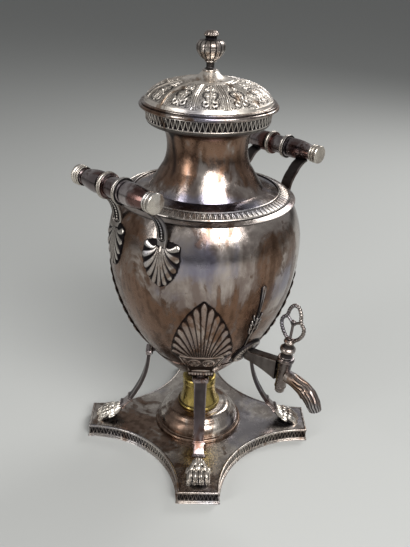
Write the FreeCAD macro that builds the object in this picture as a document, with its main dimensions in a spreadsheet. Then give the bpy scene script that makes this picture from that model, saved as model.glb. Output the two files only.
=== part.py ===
import FreeCAD, Part
import math
import os
import re
import Sketcher

# A silver-plated tea urn on a square plinth with hollow sides: a vase-shaped urn on four lion-paw legs,
# a hinged lid with a fluted knob, two bar handles, a plug tap at the front and a spirit lamp under it.
# The origin is the centre of the plinth's underside, +Z is up, the tap points along -Y, the handles lie
# to -X and +X, and the lid is hinged at +Y. Lengths are in millimetres, angles in degrees.

os.makedirs("parts", exist_ok=True)
doc = FreeCAD.newDocument("samovar")
sheet = doc.addObject("Spreadsheet::Sheet", "sizes")

SIZES = {
    # plinth: a pressed plate with a lip, a set-back wall and a rolled hem
    "plinth_reach": 116.9,
    "plinth_face": 40.7,
    "plinth_bay": 95.0,
    "plinth_rise": 13.3,
    "plinth_sheet": 1.4,
    "plinth_lip": 2.6,
    "plinth_hem": 2.8,
    "plinth_inset": 1.8,
    "frieze_thick": 1.0,
    # stepped dish that carries the lamp
    "dish_foot": 45.9,
    "dish_step": 3.4,
    "dish_shoulder": 35.0,
    "dish_shoulder_rise": 17.2,
    "dish_top": 26.5,
    "dish_rise": 21.7,
    "dish_sheet": 1.2,
    # brass spirit lamp
    "lamp_foot": 21.7,
    "lamp_foot_rise": 3.6,
    "lamp_base": 20.4,
    "lamp_waist": 17.0,
    "lamp_tank_rise": 25.0,
    "lamp_sheet": 0.9,
    "lamp_gap": 0.3,
    "cap_radius": 17.6,
    "cap_rise": 8.8,
    "wick_tube": 4.0,
    "wick_tube_rise": 3.4,
    "wick_radius": 2.9,
    "wick_show": 2.6,
    # urn bowl: two arcs that meet at the widest level, over a shallow cone
    "belly_radius": 91.3,
    "belly_level": 228.0,
    "low_curve": 185.0,
    "high_curve": 78.7,
    "cone_level": 111.0,
    "cone_swell": 1.3,
    "base_radius": 13.0,
    "base_level": 73.5,
    "seam_level": 270.4,
    "urn_sheet": 1.4,
    # shoulder and neck
    "shoulder_swell": 1.2,
    "shoulder_radius": 53.0,
    "shoulder_level": 279.4,
    "neck_low_radius": 40.3,
    "neck_low_level": 300.0,
    "waist_radius": 36.8,
    "waist_level": 317.0,
    "neck_high_radius": 39.4,
    "neck_high_level": 331.5,
    "flare_radius": "=collar_top_radius - flare_inset",
    "flare_inset": 4.0,
    "flare_level": 338.0,
    "neck_sheet": 1.4,
    # frieze band on the shoulder
    "band_outer": 78.4,
    "band_inner": 67.2,
    "band_thick": 1.6,
    "band_ground": 0.8,
    "band_edge": 1.5,
    # collar under the lid and the mouth ring inside it
    "collar_low_radius": "=collar_top_radius - collar_taper",
    "collar_taper": 1.1,
    "collar_low_level": 343.4,
    "collar_top_radius": 57.0,
    "mouth_level": 351.5,
    "collar_sheet": 1.5,
    "mouth_radius": "=collar_top_radius - mouth_inset",
    "mouth_inset": 5.5,
    "mouth_drop": 6.0,
    "mouth_sheet": 1.2,
    # lid
    "lid_gap": 0.3,
    "rim_radius": "=collar_top_radius + rim_overhang",
    "rim_overhang": 5.0,
    "rim_bead": 1.9,
    "rim_rise": 5.6,
    "rim_width": 7.2,
    "dome_radius": "=rim_radius - dome_inset",
    "dome_inset": 4.6,
    "dome_low_radius": "=dome_radius * 0.895",
    "dome_low_rise": 8.1,
    "dome_knee_radius": "=dome_radius * 0.767",
    "dome_knee_rise": 12.8,
    "dome_mid_radius": "=dome_radius * 0.584",
    "dome_mid_rise": 15.9,
    "dome_top_radius": "=dome_radius * 0.366",
    "dome_top_rise": 18.0,
    "cone_mid_radius": 11.6,
    "cone_mid_rise": 20.6,
    "cone_top_radius": 6.8,
    "cone_top_rise": 25.2,
    "lid_sheet": 1.2,
    "bezel_gap": 0.6,
    "bezel_drop": 5.5,
    "bezel_sheet": 1.2,
    "rib_count": 12,
    "rib_angle": 3.4,
    "rib_proud": 0.7,
    # knob
    "knob_collar": 6.6,
    "knob_collar_rise": 1.2,
    "knob_stem": 3.5,
    "knob_stem_rise": 8.4,
    "knob_foot": 5.4,
    "knob_belly": 12.6,
    "knob_rise": 17.0,
    "flute_count": 16,
    "flute_depth": 1.5,
    "button_neck": 5.6,
    "button_radius": 6.5,
    "button_rise": 7.8,
    "stud_radius": 1.6,
    "stud_drop": 4.6,
    "stud_gap": 0.05,
    "nut_radius": 3.4,
    "nut_thick": 2.0,
    # lid hinge
    "hinge_reach": "=rim_radius + hinge_stand",
    "hinge_stand": 3.0,
    "knuckle_radius": 2.2,
    "knuckle_length": 6.0,
    "knuckle_gap": 0.3,
    "pin_radius": 1.0,
    "pin_gap": 0.06,
    "leaf_thick": 1.3,
    "leaf_seat": 1.0,
    "leaf_drop": 8.0,
    # handle bars
    "bar_reach": 106.8,
    "bar_level": 299.3,
    "bar_half": 49.8,
    "bar_middle": 8.8,
    "bar_ring": 11.8,
    "bar_thick": 9.7,
    "bar_thin": 6.3,
    "bar_neck": 7.2,
    "bar_end": 8.8,
    # handle straps
    "strap_offset": 29.5,
    "strap_width": 12.0,
    "strap_thick": 2.6,
    "strap_foot_level": 251.0,
    "strap_knee_level": 270.0,
    # palmettes on the body under the straps
    "fan_level": 256.0,
    "fan_drop": 42.0,
    "fan_half": 18.5,
    "fan_spread": 112.0,
    "palmette_reach": 40.0,
    "fan_plate": 1.0,
    "fan_relief": 2.2,
    "fan_lobes": 9,
    # legs
    "leg_width": 11.4,
    "leg_thick": 3.8,
    "leg_head_radius": 53.4,
    "leg_head_level": 100.0,
    "leg_knee_radius": "=leg_head_radius + (leg_ankle_radius - leg_head_radius) * 0.179",
    "leg_knee_level": 67.5,
    "leg_shin_radius": "=leg_head_radius + (leg_ankle_radius - leg_head_radius) * 0.45",
    "leg_shin_level": 49.7,
    "leg_bend_radius": "=leg_head_radius + (leg_ankle_radius - leg_head_radius) * 0.708",
    "leg_bend_level": 37.6,
    "leg_ankle_radius": "=plinth_reach - foot_inset",
    "leg_ankle_level": 28.4,
    "foot_inset": 34.4,
    "leg_collar": 12.6,
    "leg_collar_thick": 5.6,
    "leg_collar_length": 1.8,
    "cornice_width": 15.6,
    "cornice_thick": 6.0,
    "cornice_rise": 3.6,
    # lion paws
    "paw_length": 21.0,
    "paw_width": 24.0,
    "paw_rise": 9.6,
    "toe_radius": 4.3,
    # shell palmettes on the bowl above the legs
    "shell_top_level": 203.6,
    "shell_half": 26.6,
    "shell_base_level": 133.0,
    "shell_waist_level": 112.0,
    "shell_spread": 104.0,
    "shell_waist_half": 17.0,
    "shell_foot_half": 12.6,
    "shell_plate": 1.2,
    "shell_relief": 2.6,
    "shell_lobes": 13,
    "solder_gap": 0.1,
    # tap
    "tap_root_level": 127.0,
    "tap_rose_radius": 16.5,
    "tap_rose_proud": 2.6,
    "tap_rose_bead": 1.0,
    "barrel_reach": 107.4,
    "barrel_level": 124.0,
    "barrel_lean": 6.2,
    "barrel_top_rise": 18.6,
    "barrel_foot_drop": 17.4,
    "barrel_top_radius": 7.0,
    "barrel_foot_radius": 5.0,
    "barrel_ring_radius": 7.9,
    "barrel_ring_rise": 2.2,
    "plug_top_radius": 4.9,
    "plug_foot_radius": 3.3,
    "plug_gap": 0.06,
    "plug_bore": 1.9,
    "plug_collar_radius": 7.2,
    "plug_collar_gap": 0.3,
    "plug_collar_rise": 8.8,
    "key_stem_radius": 4.4,
    "key_ring_radius": 5.2,
    "key_foot_rise": 19.4,
    "key_rise": 37.0,
    "key_half": 13.4,
    "key_thick": 3.2,
    "tap_nut_radius": 4.6,
    "tap_nut_rise": 5.6,
    "pipe_width": 10.0,
    "pipe_end_rise": 21.0,
    "spout_reach": 41.6,
    "spout_drop": 17.4,
    "spout_width": 13.0,
    "backnut_radius": 9.0,
    "backnut_thick": 3.0,
    "tail_radius": 5.0,
    # narrow leaf ornament over the tap
    "leaf_low_level": 141.0,
    "leaf_high_level": 214.0,
    "leaf_half": 5.2,
    "leaf_relief": 2.0,
    "leaf_turn": 10.0,
    # screws that hold the paws to the plinth
    "screw_radius": 1.2,
    "screw_head": 2.6,
    "screw_head_rise": 1.6,
    "screw_reach": "=plinth_reach - screw_inset",
    "screw_inset": 19.9,
    "screw_depth": 4.0,
    # extra length of every cutting shape
    "overrun": 5.0,
}

for row, (alias, size) in enumerate(SIZES.items(), start=1):
    cell = f"A{row}"
    sheet.set(cell, str(size))
    sheet.setAlias(cell, alias)
doc.recompute()

WORD = re.compile(r"[a-z]+(?:_[a-z]+)*")
UP = FreeCAD.Vector(0, 0, 1)
ORIGIN = FreeCAD.Vector(0, 0, 0)
NODES = []


def value(formula):
    """The number that a formula in the sheet's sizes gives."""
    return float(sheet.evalExpression(str(formula)))


def tied(formula):
    """The formula with each size named as the sheet's own."""
    return WORD.sub(lambda word: f"sizes.{word[0]}" if word[0] in SIZES else word[0], str(formula))


def tie(thing, prop, formula):
    """Binds one property of a feature to a formula in the sheet's sizes."""
    thing.setExpression(prop, tied(formula))


def new_body(label):
    """An empty sub-part whose label names its file."""
    body = doc.addObject("PartDesign::Body", label)
    body.Label = label
    NODES.append(body)
    return body


def new_sketch(body, name, role, offset=None):
    """A sketch on one of the body's own origin planes, lifted along the plane's normal by a formula."""
    plane = next(item for item in body.Origin.OriginFeatures if item.Role == role)
    sketch = body.newObject("Sketcher::SketchObject", name)
    sketch.AttachmentSupport = [(plane, "")]
    sketch.MapMode = "FlatFace"
    if offset is not None:
        tie(sketch, "AttachmentOffset.Base.z", offset)
    return sketch


def pins(side, end, spot):
    """The two sizes that fix one end of a side at a place given by two formulas."""
    kinds = ("DistanceX", "DistanceY")
    return [(Sketcher.Constraint(kind, -1, 1, side, end, value(formula)), formula)
            for kind, formula in zip(kinds, spot)]


def constrain(sketch, sized, plain=()):
    """Adds a run of constraints at once, and ties each sized one to its formula."""
    first = sketch.ConstraintCount
    sketch.addConstraint([constraint for constraint, _ in sized] + list(plain))
    for index, (_, formula) in enumerate(sized, start=first):
        if WORD.search(str(formula)):
            tie(sketch, f"Constraints[{index}]", formula)


def arc_between(first, middle, last):
    """The arc that turns left from one point through a middle one to another."""
    centre = Part.Circle(first, middle, last).Center
    begin = math.atan2(first.y - centre.y, first.x - centre.x)
    finish = math.atan2(last.y - centre.y, last.x - centre.x)
    if finish < begin:
        finish += 2 * math.pi
    circle = Part.Circle(centre, UP, centre.distanceToPoint(first))
    return Part.ArcOfCircle(circle, begin, finish)


def draw(sketch, start, sides):
    """Draws a closed outline. A side is (x, y) for a straight one, or (mid x, mid y, x, y) for an arc
    through a middle point, and the last side runs back to the start."""
    here = start
    shapes = []
    for number, side in enumerate(sides):
        there = start if number == len(sides) - 1 else side[-2:]
        first = FreeCAD.Vector(value(here[0]), value(here[1]), 0)
        last = FreeCAD.Vector(value(there[0]), value(there[1]), 0)
        if len(side) in (0, 2):
            shapes.append((Part.LineSegment(first, last), True, here, side))
        else:
            middle = FreeCAD.Vector(value(side[0]), value(side[1]), 0)
            leftwards = (middle - first).cross(last - middle).z > 0
            arc = arc_between(first, middle, last) if leftwards else arc_between(last, middle, first)
            shapes.append((arc, leftwards, here, side))
        here = there
    base = sketch.GeometryCount
    sketch.addGeometry([shape for shape, _, _, _ in shapes], False)
    ends = [(1, 2) if forward else (2, 1) for _, forward, _, _ in shapes]
    sized = []
    plain = []
    guides = []
    for number, (_, _, spot, side) in enumerate(shapes):
        follower = (number + 1) % len(shapes)
        plain.append(Sketcher.Constraint("Coincident", base + number, ends[number][1],
                                         base + follower, ends[follower][0]))
        sized += pins(base + number, ends[number][0], spot)
        if len(side) == 4:
            guide = base + len(shapes) + len(guides)
            guides.append(Part.Point(FreeCAD.Vector(value(side[0]), value(side[1]), 0)))
            sized += pins(guide, 1, side[:2])
            plain.append(Sketcher.Constraint("PointOnObject", guide, 1, base + number))
    if guides:
        sketch.addGeometry(guides, True)
    constrain(sketch, sized, plain)


def turn(body, name, start, sides, kind="PartDesign::Revolution", angle="360"):
    """A profile in the X-Z plane turned about Z."""
    sketch = new_sketch(body, f"{name}_profile", "XZ_Plane")
    draw(sketch, start, sides)
    feature = body.newObject(kind, name)
    feature.Profile = sketch
    feature.ReferenceAxis = (sketch, ["V_Axis"])
    if angle == "360":
        feature.Angle = 360
    else:
        feature.Midplane = True
        tie(feature, "Angle", angle)
    return feature


def turned(label, start, sides):
    """A sub-part that is one profile turned about Z."""
    body = new_body(label)
    turn(body, f"{label}_turned", start, sides)
    return body


def pad(body, name, role, outlines, length, offset=None, midplane=False, kind="PartDesign::Pad"):
    """One or more outlines given a thickness, or cut away with it."""
    sketch = new_sketch(body, f"{name}_outline", role, offset)
    for start, sides in outlines:
        draw(sketch, start, sides)
    feature = body.newObject(kind, name)
    feature.Profile = sketch
    feature.Midplane = midplane
    tie(feature, "Length", length)
    return feature


def place(item, x="0", y="0", z="0", axis=UP, degrees=0.0):
    """Puts a sub-part where formulas say, turned by a fixed angle."""
    item.Placement = FreeCAD.Placement(FreeCAD.Vector(value(x), value(y), value(z)),
                                       FreeCAD.Rotation(axis, degrees))
    for letter, formula in zip("xyz", (x, y, z)):
        if str(formula) != "0":
            tie(item, f"Placement.Base.{letter}", formula)


def carved(label, shape, placement=None):
    """A sub-part whose relief follows another piece's curve, kept as one shape."""
    feature = doc.addObject("Part::Feature", label)
    feature.Label = label
    feature.Shape = shape
    if placement is not None:
        feature.Placement = placement
    NODES.append(feature)
    return feature


# Plinth. Its outline has four short corner faces joined by hollow bays. Every ring of the pressed edge is
# the same outline drawn in by some inset, whose corners follow from where the face meets the bay.

BAY_ACROSS = "((plinth_reach - plinth_face / 2) / sqrt(2))"
BAY_ALONG = "((plinth_reach + plinth_face / 2) / sqrt(2))"
BAY_CENTRE = f"({BAY_ALONG} + sqrt(plinth_bay^2 - {BAY_ACROSS}^2))"


def plinth_outline(inset):
    """The closed outline of the plinth drawn in by an inset."""
    reach = f"(plinth_reach - ({inset}))"
    bay = f"(plinth_bay + ({inset}))"
    far = f"(sqrt(2) * {BAY_CENTRE})"
    rest = f"({reach}^2 - {far} * {reach} + {BAY_CENTRE}^2 - {bay}^2)"
    half = f"(({far} - sqrt({far}^2 - 4 * {rest})) / 2)"
    small = f"(({reach} - {half}) / sqrt(2))"
    large = f"(({reach} + {half}) / sqrt(2))"
    middle = f"({BAY_CENTRE} - {bay})"
    start = (small, large)
    sides = [
        (large, small),
        (middle, "0", large, f"-{small}"),
        (small, f"-{large}"),
        ("0", f"-{middle}", f"-{small}", f"-{large}"),
        (f"-{large}", f"-{small}"),
        (f"-{middle}", "0", f"-{large}", small),
        (f"-{small}", large),
        ("0", middle, small, large),
    ]
    return start, sides


plinth = new_body("plinth")
pad(plinth, "plinth_wall", "XY_Plane", [plinth_outline("plinth_inset")], "plinth_rise")
pad(plinth, "plinth_edge", "XY_Plane", [plinth_outline("0")], "plinth_lip", "plinth_rise - plinth_lip")
pad(plinth, "plinth_roll", "XY_Plane", [plinth_outline("0")], "plinth_hem")
hollow = pad(plinth, "plinth_hollow", "XY_Plane", [plinth_outline("plinth_inset + plinth_sheet")],
             "plinth_rise - plinth_sheet", kind="PartDesign::Pocket")
hollow.Reversed = True
holes = new_sketch(plinth, "screw_holes_outline", "XY_Plane", "plinth_rise - plinth_sheet - overrun")
for quarter in range(4):
    across = "screw_reach / sqrt(2)" if quarter in (0, 3) else "-screw_reach / sqrt(2)"
    along = "screw_reach / sqrt(2)" if quarter in (0, 1) else "-screw_reach / sqrt(2)"
    centre = FreeCAD.Vector(value(across), value(along), 0)
    index = holes.addGeometry(Part.Circle(centre, UP, value("screw_radius")), False)
    radius = Sketcher.Constraint("Radius", index, value("screw_radius + stud_gap"))
    constrain(holes, pins(index, 3, (across, along)) + [(radius, "screw_radius + stud_gap")])
drill = plinth.newObject("PartDesign::Pocket", "screw_holes")
drill.Profile = holes
drill.Reversed = True
tie(drill, "Length", "plinth_sheet + 2 * overrun")
doc.recompute()

frieze = new_body("plinth_frieze")
pad(frieze, "frieze_band", "XY_Plane", [plinth_outline("plinth_inset - frieze_thick")],
    "plinth_rise - plinth_lip - plinth_hem", "plinth_hem")
cut = pad(frieze, "frieze_inside", "XY_Plane", [plinth_outline("plinth_inset")],
          "plinth_rise - plinth_lip - plinth_hem + 2 * overrun", "plinth_hem - overrun",
          kind="PartDesign::Pocket")
cut.Reversed = True

# Dish: a spun dome with a rounded foot ring, hollow below, soldered on the plinth.
dish = turned("burner_dish", ("dish_foot - dish_step - dish_sheet", "0"), [
    ("dish_foot", "0"),
    ("dish_foot - dish_step * 0.25", "dish_step * 0.75", "dish_foot - dish_step", "dish_step"),
    ("dish_foot - dish_step * 1.7", "dish_shoulder_rise * 0.72", "dish_shoulder", "dish_shoulder_rise"),
    ("dish_top + (dish_shoulder - dish_top) * 0.6", "dish_rise - dish_sheet", "dish_top", "dish_rise"),
    ("0", "dish_rise"),
    ("0", "dish_rise - dish_sheet"),
    ("dish_top", "dish_rise - dish_sheet"),
    ("dish_shoulder - dish_sheet * 0.6", "dish_shoulder_rise - dish_sheet"),
    ("dish_foot - dish_step * 1.7 - dish_sheet", "dish_shoulder_rise * 0.72 - dish_sheet * 0.4",
     "dish_foot - dish_step - dish_sheet", "0"),
])
place(dish, z="plinth_rise")

# Spirit lamp: a hollow brass tank with a rolled foot, a wick tube through its top and a cap over it.
LAMP_FLOOR = "plinth_rise + dish_rise + lamp_gap"
tank = turned("lamp_tank", ("0", "0"), [
    ("lamp_foot", "0"),
    ("lamp_foot + lamp_foot_rise * 0.2", "lamp_foot_rise * 0.5", "lamp_foot", "lamp_foot_rise"),
    ("lamp_base", "lamp_foot_rise"),
    ("lamp_waist + (lamp_base - lamp_waist) * 0.3", "lamp_tank_rise * 0.5", "lamp_waist", "lamp_tank_rise"),
    ("wick_tube + stud_gap", "lamp_tank_rise"),
    ("wick_tube + stud_gap", "lamp_tank_rise - lamp_sheet"),
    ("lamp_waist - lamp_sheet", "lamp_tank_rise - lamp_sheet"),
    ("lamp_waist + (lamp_base - lamp_waist) * 0.3 - lamp_sheet", "lamp_tank_rise * 0.5",
     "lamp_base - lamp_sheet", "lamp_foot_rise"),
    ("lamp_base - lamp_sheet", "lamp_sheet"),
    ("0", "lamp_sheet"),
    (),
])
place(tank, z=LAMP_FLOOR)
tube = turned("lamp_wick_tube", ("wick_radius + stud_gap", "0"), [
    ("wick_tube", "0"),
    ("wick_tube", "wick_tube_rise * 2 + lamp_sheet"),
    ("wick_radius + stud_gap", "wick_tube_rise * 2 + lamp_sheet"),
    (),
])
place(tube, z=f"{LAMP_FLOOR} + lamp_tank_rise - lamp_sheet - wick_tube_rise")
wick = turned("lamp_wick", ("0", "0"), [
    ("wick_radius", "0"),
    ("wick_radius", "lamp_tank_rise + wick_tube_rise + wick_show - lamp_sheet * 2"),
    ("0", "lamp_tank_rise + wick_tube_rise + wick_show - lamp_sheet * 2"),
    (),
])
place(wick, z=f"{LAMP_FLOOR} + lamp_sheet")
cap = turned("lamp_cap", ("cap_radius - lamp_sheet", "0"), [
    ("cap_radius", "0"),
    ("cap_radius", "cap_rise * 0.7"),
    ("cap_radius - cap_rise * 0.1", "cap_rise * 0.93", "cap_radius - cap_rise * 0.35", "cap_rise"),
    ("0", "cap_rise"),
    ("0", "cap_rise - lamp_sheet"),
    ("cap_radius - cap_rise * 0.35", "cap_rise - lamp_sheet"),
    ("cap_radius - lamp_sheet", "cap_rise * 0.7"),
    (),
])
place(cap, z=f"{LAMP_FLOOR} + lamp_tank_rise")

# Urn bowl. Its side is a long lower arc and a short upper one, level with each other at the widest place,
# so an arc moved out by some thickness keeps its centre.


def low_side(level, out="0"):
    """Radius of the lower part of the bowl at a level, moved out by a thickness."""
    return f"(belly_radius - low_curve + sqrt((low_curve + ({out}))^2 - (belly_level - ({level}))^2))"


def high_side(level, out="0"):
    """Radius of the upper part of the bowl at a level, moved out by a thickness."""
    return f"(belly_radius - high_curve + sqrt((high_curve + ({out}))^2 - (({level}) - belly_level)^2))"


LOW_MIDDLE = "((cone_level + belly_level) / 2)"
HIGH_MIDDLE = "((belly_level + seam_level) / 2)"
CONE_MIDDLE = f"((base_radius + {low_side('cone_level')}) / 2 + cone_swell)"
CONE_MIDDLE_LEVEL = "((base_level + cone_level) / 2 - cone_swell)"


def bowl_sides(out):
    """The bowl's side from its flat base to the seam, moved out by a thickness."""
    return ("base_radius", f"base_level - ({out})"), [
        (f"{CONE_MIDDLE} + ({out}) * 0.7", f"{CONE_MIDDLE_LEVEL} - ({out}) * 0.7",
         low_side("cone_level", out), "cone_level"),
        (low_side(LOW_MIDDLE, out), LOW_MIDDLE, f"belly_radius + ({out})", "belly_level"),
        (high_side(HIGH_MIDDLE, out), HIGH_MIDDLE, high_side("seam_level", out), "seam_level"),
    ]


def backwards(start, sides):
    """The same run of sides from its far end to its start."""
    spots = [start] + [side[-2:] for side in sides]
    back = []
    for side, spot in zip(reversed(sides), reversed(spots[:-1])):
        back.append(side[:2] + spot if len(side) == 4 else spot)
    return spots[-1], back


outer_start, outer_run = bowl_sides("0")
inner_start, inner_run = backwards(*bowl_sides("-urn_sheet"))
bowl = new_body("urn_bowl")
turn(bowl, "bowl_spun", ("0", "base_level"),
     [outer_start] + outer_run + [inner_start] + inner_run + [("0", "base_level + urn_sheet"), ()])
doc.recompute()

ROOT_SLOPE = math.degrees(math.asin(value("(belly_level - tap_root_level) / low_curve")))
TAIL = FreeCAD.Vector(0, -math.cos(math.radians(ROOT_SLOPE)), -math.sin(math.radians(ROOT_SLOPE)))
ROOT = FreeCAD.Vector(0, -value(low_side("tap_root_level")), value("tap_root_level"))


def along_tail(distance):
    """The point at some distance outwards along the tap's tail."""
    return ROOT + TAIL * value(distance)


tail_hole = bowl.newObject("PartDesign::SubtractiveCylinder", "tap_hole")
tie(tail_hole, "Radius", "tail_radius + stud_gap")
tie(tail_hole, "Height", "2 * overrun")
tail_hole.Placement = FreeCAD.Placement(along_tail("-overrun"), FreeCAD.Rotation(UP, TAIL))
doc.recompute()

# A solid of the bowl's outside with a solder gap, used to fit the pieces that sit on it.
form = doc.addObject("PartDesign::Body", "bowl_form")
form_start, form_run = bowl_sides("solder_gap")
turn(form, "bowl_form_turned", ("0", "base_level - solder_gap"),
     [form_start] + form_run + [("0", "seam_level"), ()])

# Shoulder and neck: two spun pieces with a flush seam where they meet, the neck flared out at the top.
SHOULDER = [
    (f"({high_side('seam_level')} + shoulder_radius) / 2",
     "(seam_level + shoulder_level) / 2 + shoulder_swell",
     "shoulder_radius", "shoulder_level"),
    ("neck_low_radius + (shoulder_radius - neck_low_radius) * 0.4",
     "shoulder_level + (neck_low_level - shoulder_level) * 0.4", "neck_low_radius", "neck_low_level"),
    ("waist_radius", "waist_level", "neck_high_radius", "neck_high_level"),
    ("neck_high_radius + (flare_radius - neck_high_radius) * 0.3",
     "neck_high_level + (flare_level - neck_high_level) * 0.72", "flare_radius", "flare_level"),
]
NECK_INSIDE = [
    ("neck_high_radius + (flare_radius - neck_high_radius) * 0.3 - neck_sheet * 0.6",
     "neck_high_level + (flare_level - neck_high_level) * 0.72 + neck_sheet * 0.7",
     "neck_high_radius - neck_sheet", "neck_high_level + neck_sheet * 0.3"),
    ("waist_radius - neck_sheet", "waist_level", "neck_low_radius - neck_sheet", "neck_low_level"),
    ("neck_low_radius + (shoulder_radius - neck_low_radius) * 0.4 - neck_sheet * 0.8",
     "shoulder_level + (neck_low_level - shoulder_level) * 0.4 - neck_sheet * 0.5",
     "shoulder_radius", "shoulder_level - neck_sheet"),
    (f"({high_side('seam_level')} + shoulder_radius) / 2 - neck_sheet * 0.4",
     "(seam_level + shoulder_level) / 2 + shoulder_swell - neck_sheet",
     f"{high_side('seam_level')} - neck_sheet", "seam_level"),
]
turned("urn_shoulder", (high_side("seam_level"), "seam_level"),
       SHOULDER[:2] + [("neck_low_radius - neck_sheet", "neck_low_level")] + NECK_INSIDE[2:] + [()])
turned("urn_neck", ("neck_low_radius", "neck_low_level"),
       SHOULDER[2:] + [("flare_radius", "flare_level + neck_sheet")] + NECK_INSIDE[:2] + [()])


def shoulder_level_at(radius):
    """Level of the shoulder's outside at a radius."""
    part = f"(({high_side('seam_level')} - {radius}) / ({high_side('seam_level')} - shoulder_radius))"
    return (f"(seam_level + (shoulder_level - seam_level) * {part}"
            f" + 4 * shoulder_swell * {part} * (1 - {part}))")


def over_shoulder(radius, rise):
    """A spot on the frieze: a radius, and the level that lies a rise over the shoulder there."""
    return radius, f"{shoulder_level_at(radius)} + {rise}"


BAND_MIDDLE = "((band_inner + band_outer) / 2)"
turned("shoulder_frieze", over_shoulder("band_inner", "solder_gap"), [
    over_shoulder(BAND_MIDDLE, "solder_gap") + over_shoulder("band_outer", "solder_gap"),
    over_shoulder("band_outer", "band_ground"),
    over_shoulder("(band_outer - band_edge / 2)", "band_thick")
    + over_shoulder("(band_outer - band_edge)", "band_ground"),
    over_shoulder(BAND_MIDDLE, "band_ground") + over_shoulder("(band_inner + band_edge)", "band_ground"),
    over_shoulder("(band_inner + band_edge / 2)", "band_thick") + over_shoulder("band_inner", "band_ground"),
    (),
])

# Collar: an upright band soldered round the flare, with the mouth ring let into its top.
turned("collar", ("flare_radius + solder_gap", "flare_level"), [
    ("(flare_radius + collar_low_radius) / 2 + neck_sheet * 0.5",
     "flare_level + (collar_low_level - flare_level) * 0.3", "collar_low_radius", "collar_low_level"),
    ("collar_top_radius", "mouth_level"),
    ("collar_top_radius - collar_sheet", "mouth_level"),
    ("collar_low_radius - collar_sheet", "collar_low_level"),
    ("flare_radius + solder_gap", "flare_level + neck_sheet"),
    (),
])
MOUTH_SEAT = ("(collar_top_radius - collar_sheet - solder_gap - mouth_sheet"
              " * (collar_top_radius - collar_low_radius) / (mouth_level - collar_low_level))")
turned("mouth_ring", ("mouth_radius", "mouth_level"), [
    (MOUTH_SEAT, "mouth_level"),
    (MOUTH_SEAT, "mouth_level - mouth_sheet"),
    ("mouth_radius + mouth_sheet", "mouth_level - mouth_sheet"),
    ("mouth_radius + mouth_sheet", "mouth_level - mouth_drop"),
    ("mouth_radius", "mouth_level - mouth_drop"),
    (),
])

# Lid: a rolled rim, a chased dome with twelve ribs, and a bezel that drops into the mouth ring.
LID_BASE = "mouth_level + lid_gap"
rim = turned("lid_rim", ("rim_radius - rim_width", "0"), [
    ("rim_radius - rim_bead", "0"),
    ("rim_radius - rim_bead / 2", "rim_bead / 2", "rim_radius - rim_bead", "rim_bead"),
    ("rim_radius", "(rim_bead + rim_rise) / 2", "rim_radius - rim_bead * 1.2", "rim_rise"),
    ("rim_radius - rim_width", "rim_rise"),
    (),
])
place(rim, z=LID_BASE)
dome = new_body("lid_dome")
turn(dome, "dome_spun", ("dome_radius", "0"), [
    ("dome_low_radius", "dome_low_rise", "dome_knee_radius", "dome_knee_rise"),
    ("dome_mid_radius", "dome_mid_rise", "dome_top_radius", "dome_top_rise"),
    ("cone_mid_radius", "cone_mid_rise", "cone_top_radius", "cone_top_rise"),
    ("stud_radius + stud_gap", "cone_top_rise"),
    ("stud_radius + stud_gap", "cone_top_rise - lid_sheet"),
    ("cone_top_radius - lid_sheet * 0.9", "cone_top_rise - lid_sheet"),
    ("cone_mid_radius - lid_sheet * 0.5", "cone_mid_rise - lid_sheet * 0.9",
     "dome_top_radius", "dome_top_rise - lid_sheet"),
    ("dome_mid_radius", "dome_mid_rise - lid_sheet",
     "dome_knee_radius - lid_sheet * 0.4", "dome_knee_rise - lid_sheet * 0.9"),
    ("dome_low_radius - lid_sheet * 0.75", "dome_low_rise - lid_sheet * 0.65",
     "dome_radius - lid_sheet", "0"),
    (),
])
rib = turn(dome, "dome_rib", ("dome_radius - lid_sheet / 2", "0"), [
    ("dome_radius + rib_proud * 0.6", "0"),
    ("dome_low_radius + rib_proud * 0.75", "dome_low_rise + rib_proud * 0.65",
     "dome_knee_radius + rib_proud * 0.3", "dome_knee_rise + rib_proud"),
    ("dome_mid_radius", "dome_mid_rise + rib_proud",
     "dome_top_radius + rib_proud", "dome_top_rise + rib_proud / 2"),
    ("dome_top_radius + rib_proud", "dome_top_rise - lid_sheet / 2"),
    ("dome_mid_radius", "dome_mid_rise - lid_sheet / 2",
     "dome_knee_radius - lid_sheet * 0.2", "dome_knee_rise - lid_sheet * 0.45"),
    ("dome_low_radius - lid_sheet * 0.38", "dome_low_rise - lid_sheet * 0.33",
     "dome_radius - lid_sheet / 2", "0"),
], angle="rib_angle")
ribs = dome.newObject("PartDesign::PolarPattern", "dome_ribs")
ribs.Originals = [rib]
ribs.Axis = (rib.Profile[0], ["V_Axis"])
ribs.Angle = 360
tie(ribs, "Occurrences", "rib_count")
dome.Tip = ribs
place(dome, z=f"{LID_BASE} + rim_rise")
BEZEL_INNER = "mouth_radius - bezel_gap - bezel_sheet"
bezel = turned("lid_bezel", (BEZEL_INNER, "0"), [
    ("mouth_radius - bezel_gap", "0"),
    ("mouth_radius - bezel_gap", "bezel_drop"),
    ("rim_radius - rim_width - solder_gap", "bezel_drop"),
    ("rim_radius - rim_width - solder_gap", "bezel_drop + bezel_sheet"),
    (BEZEL_INNER, "bezel_drop + bezel_sheet"),
    (),
])
place(bezel, z=f"{LID_BASE} - bezel_drop")

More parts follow.
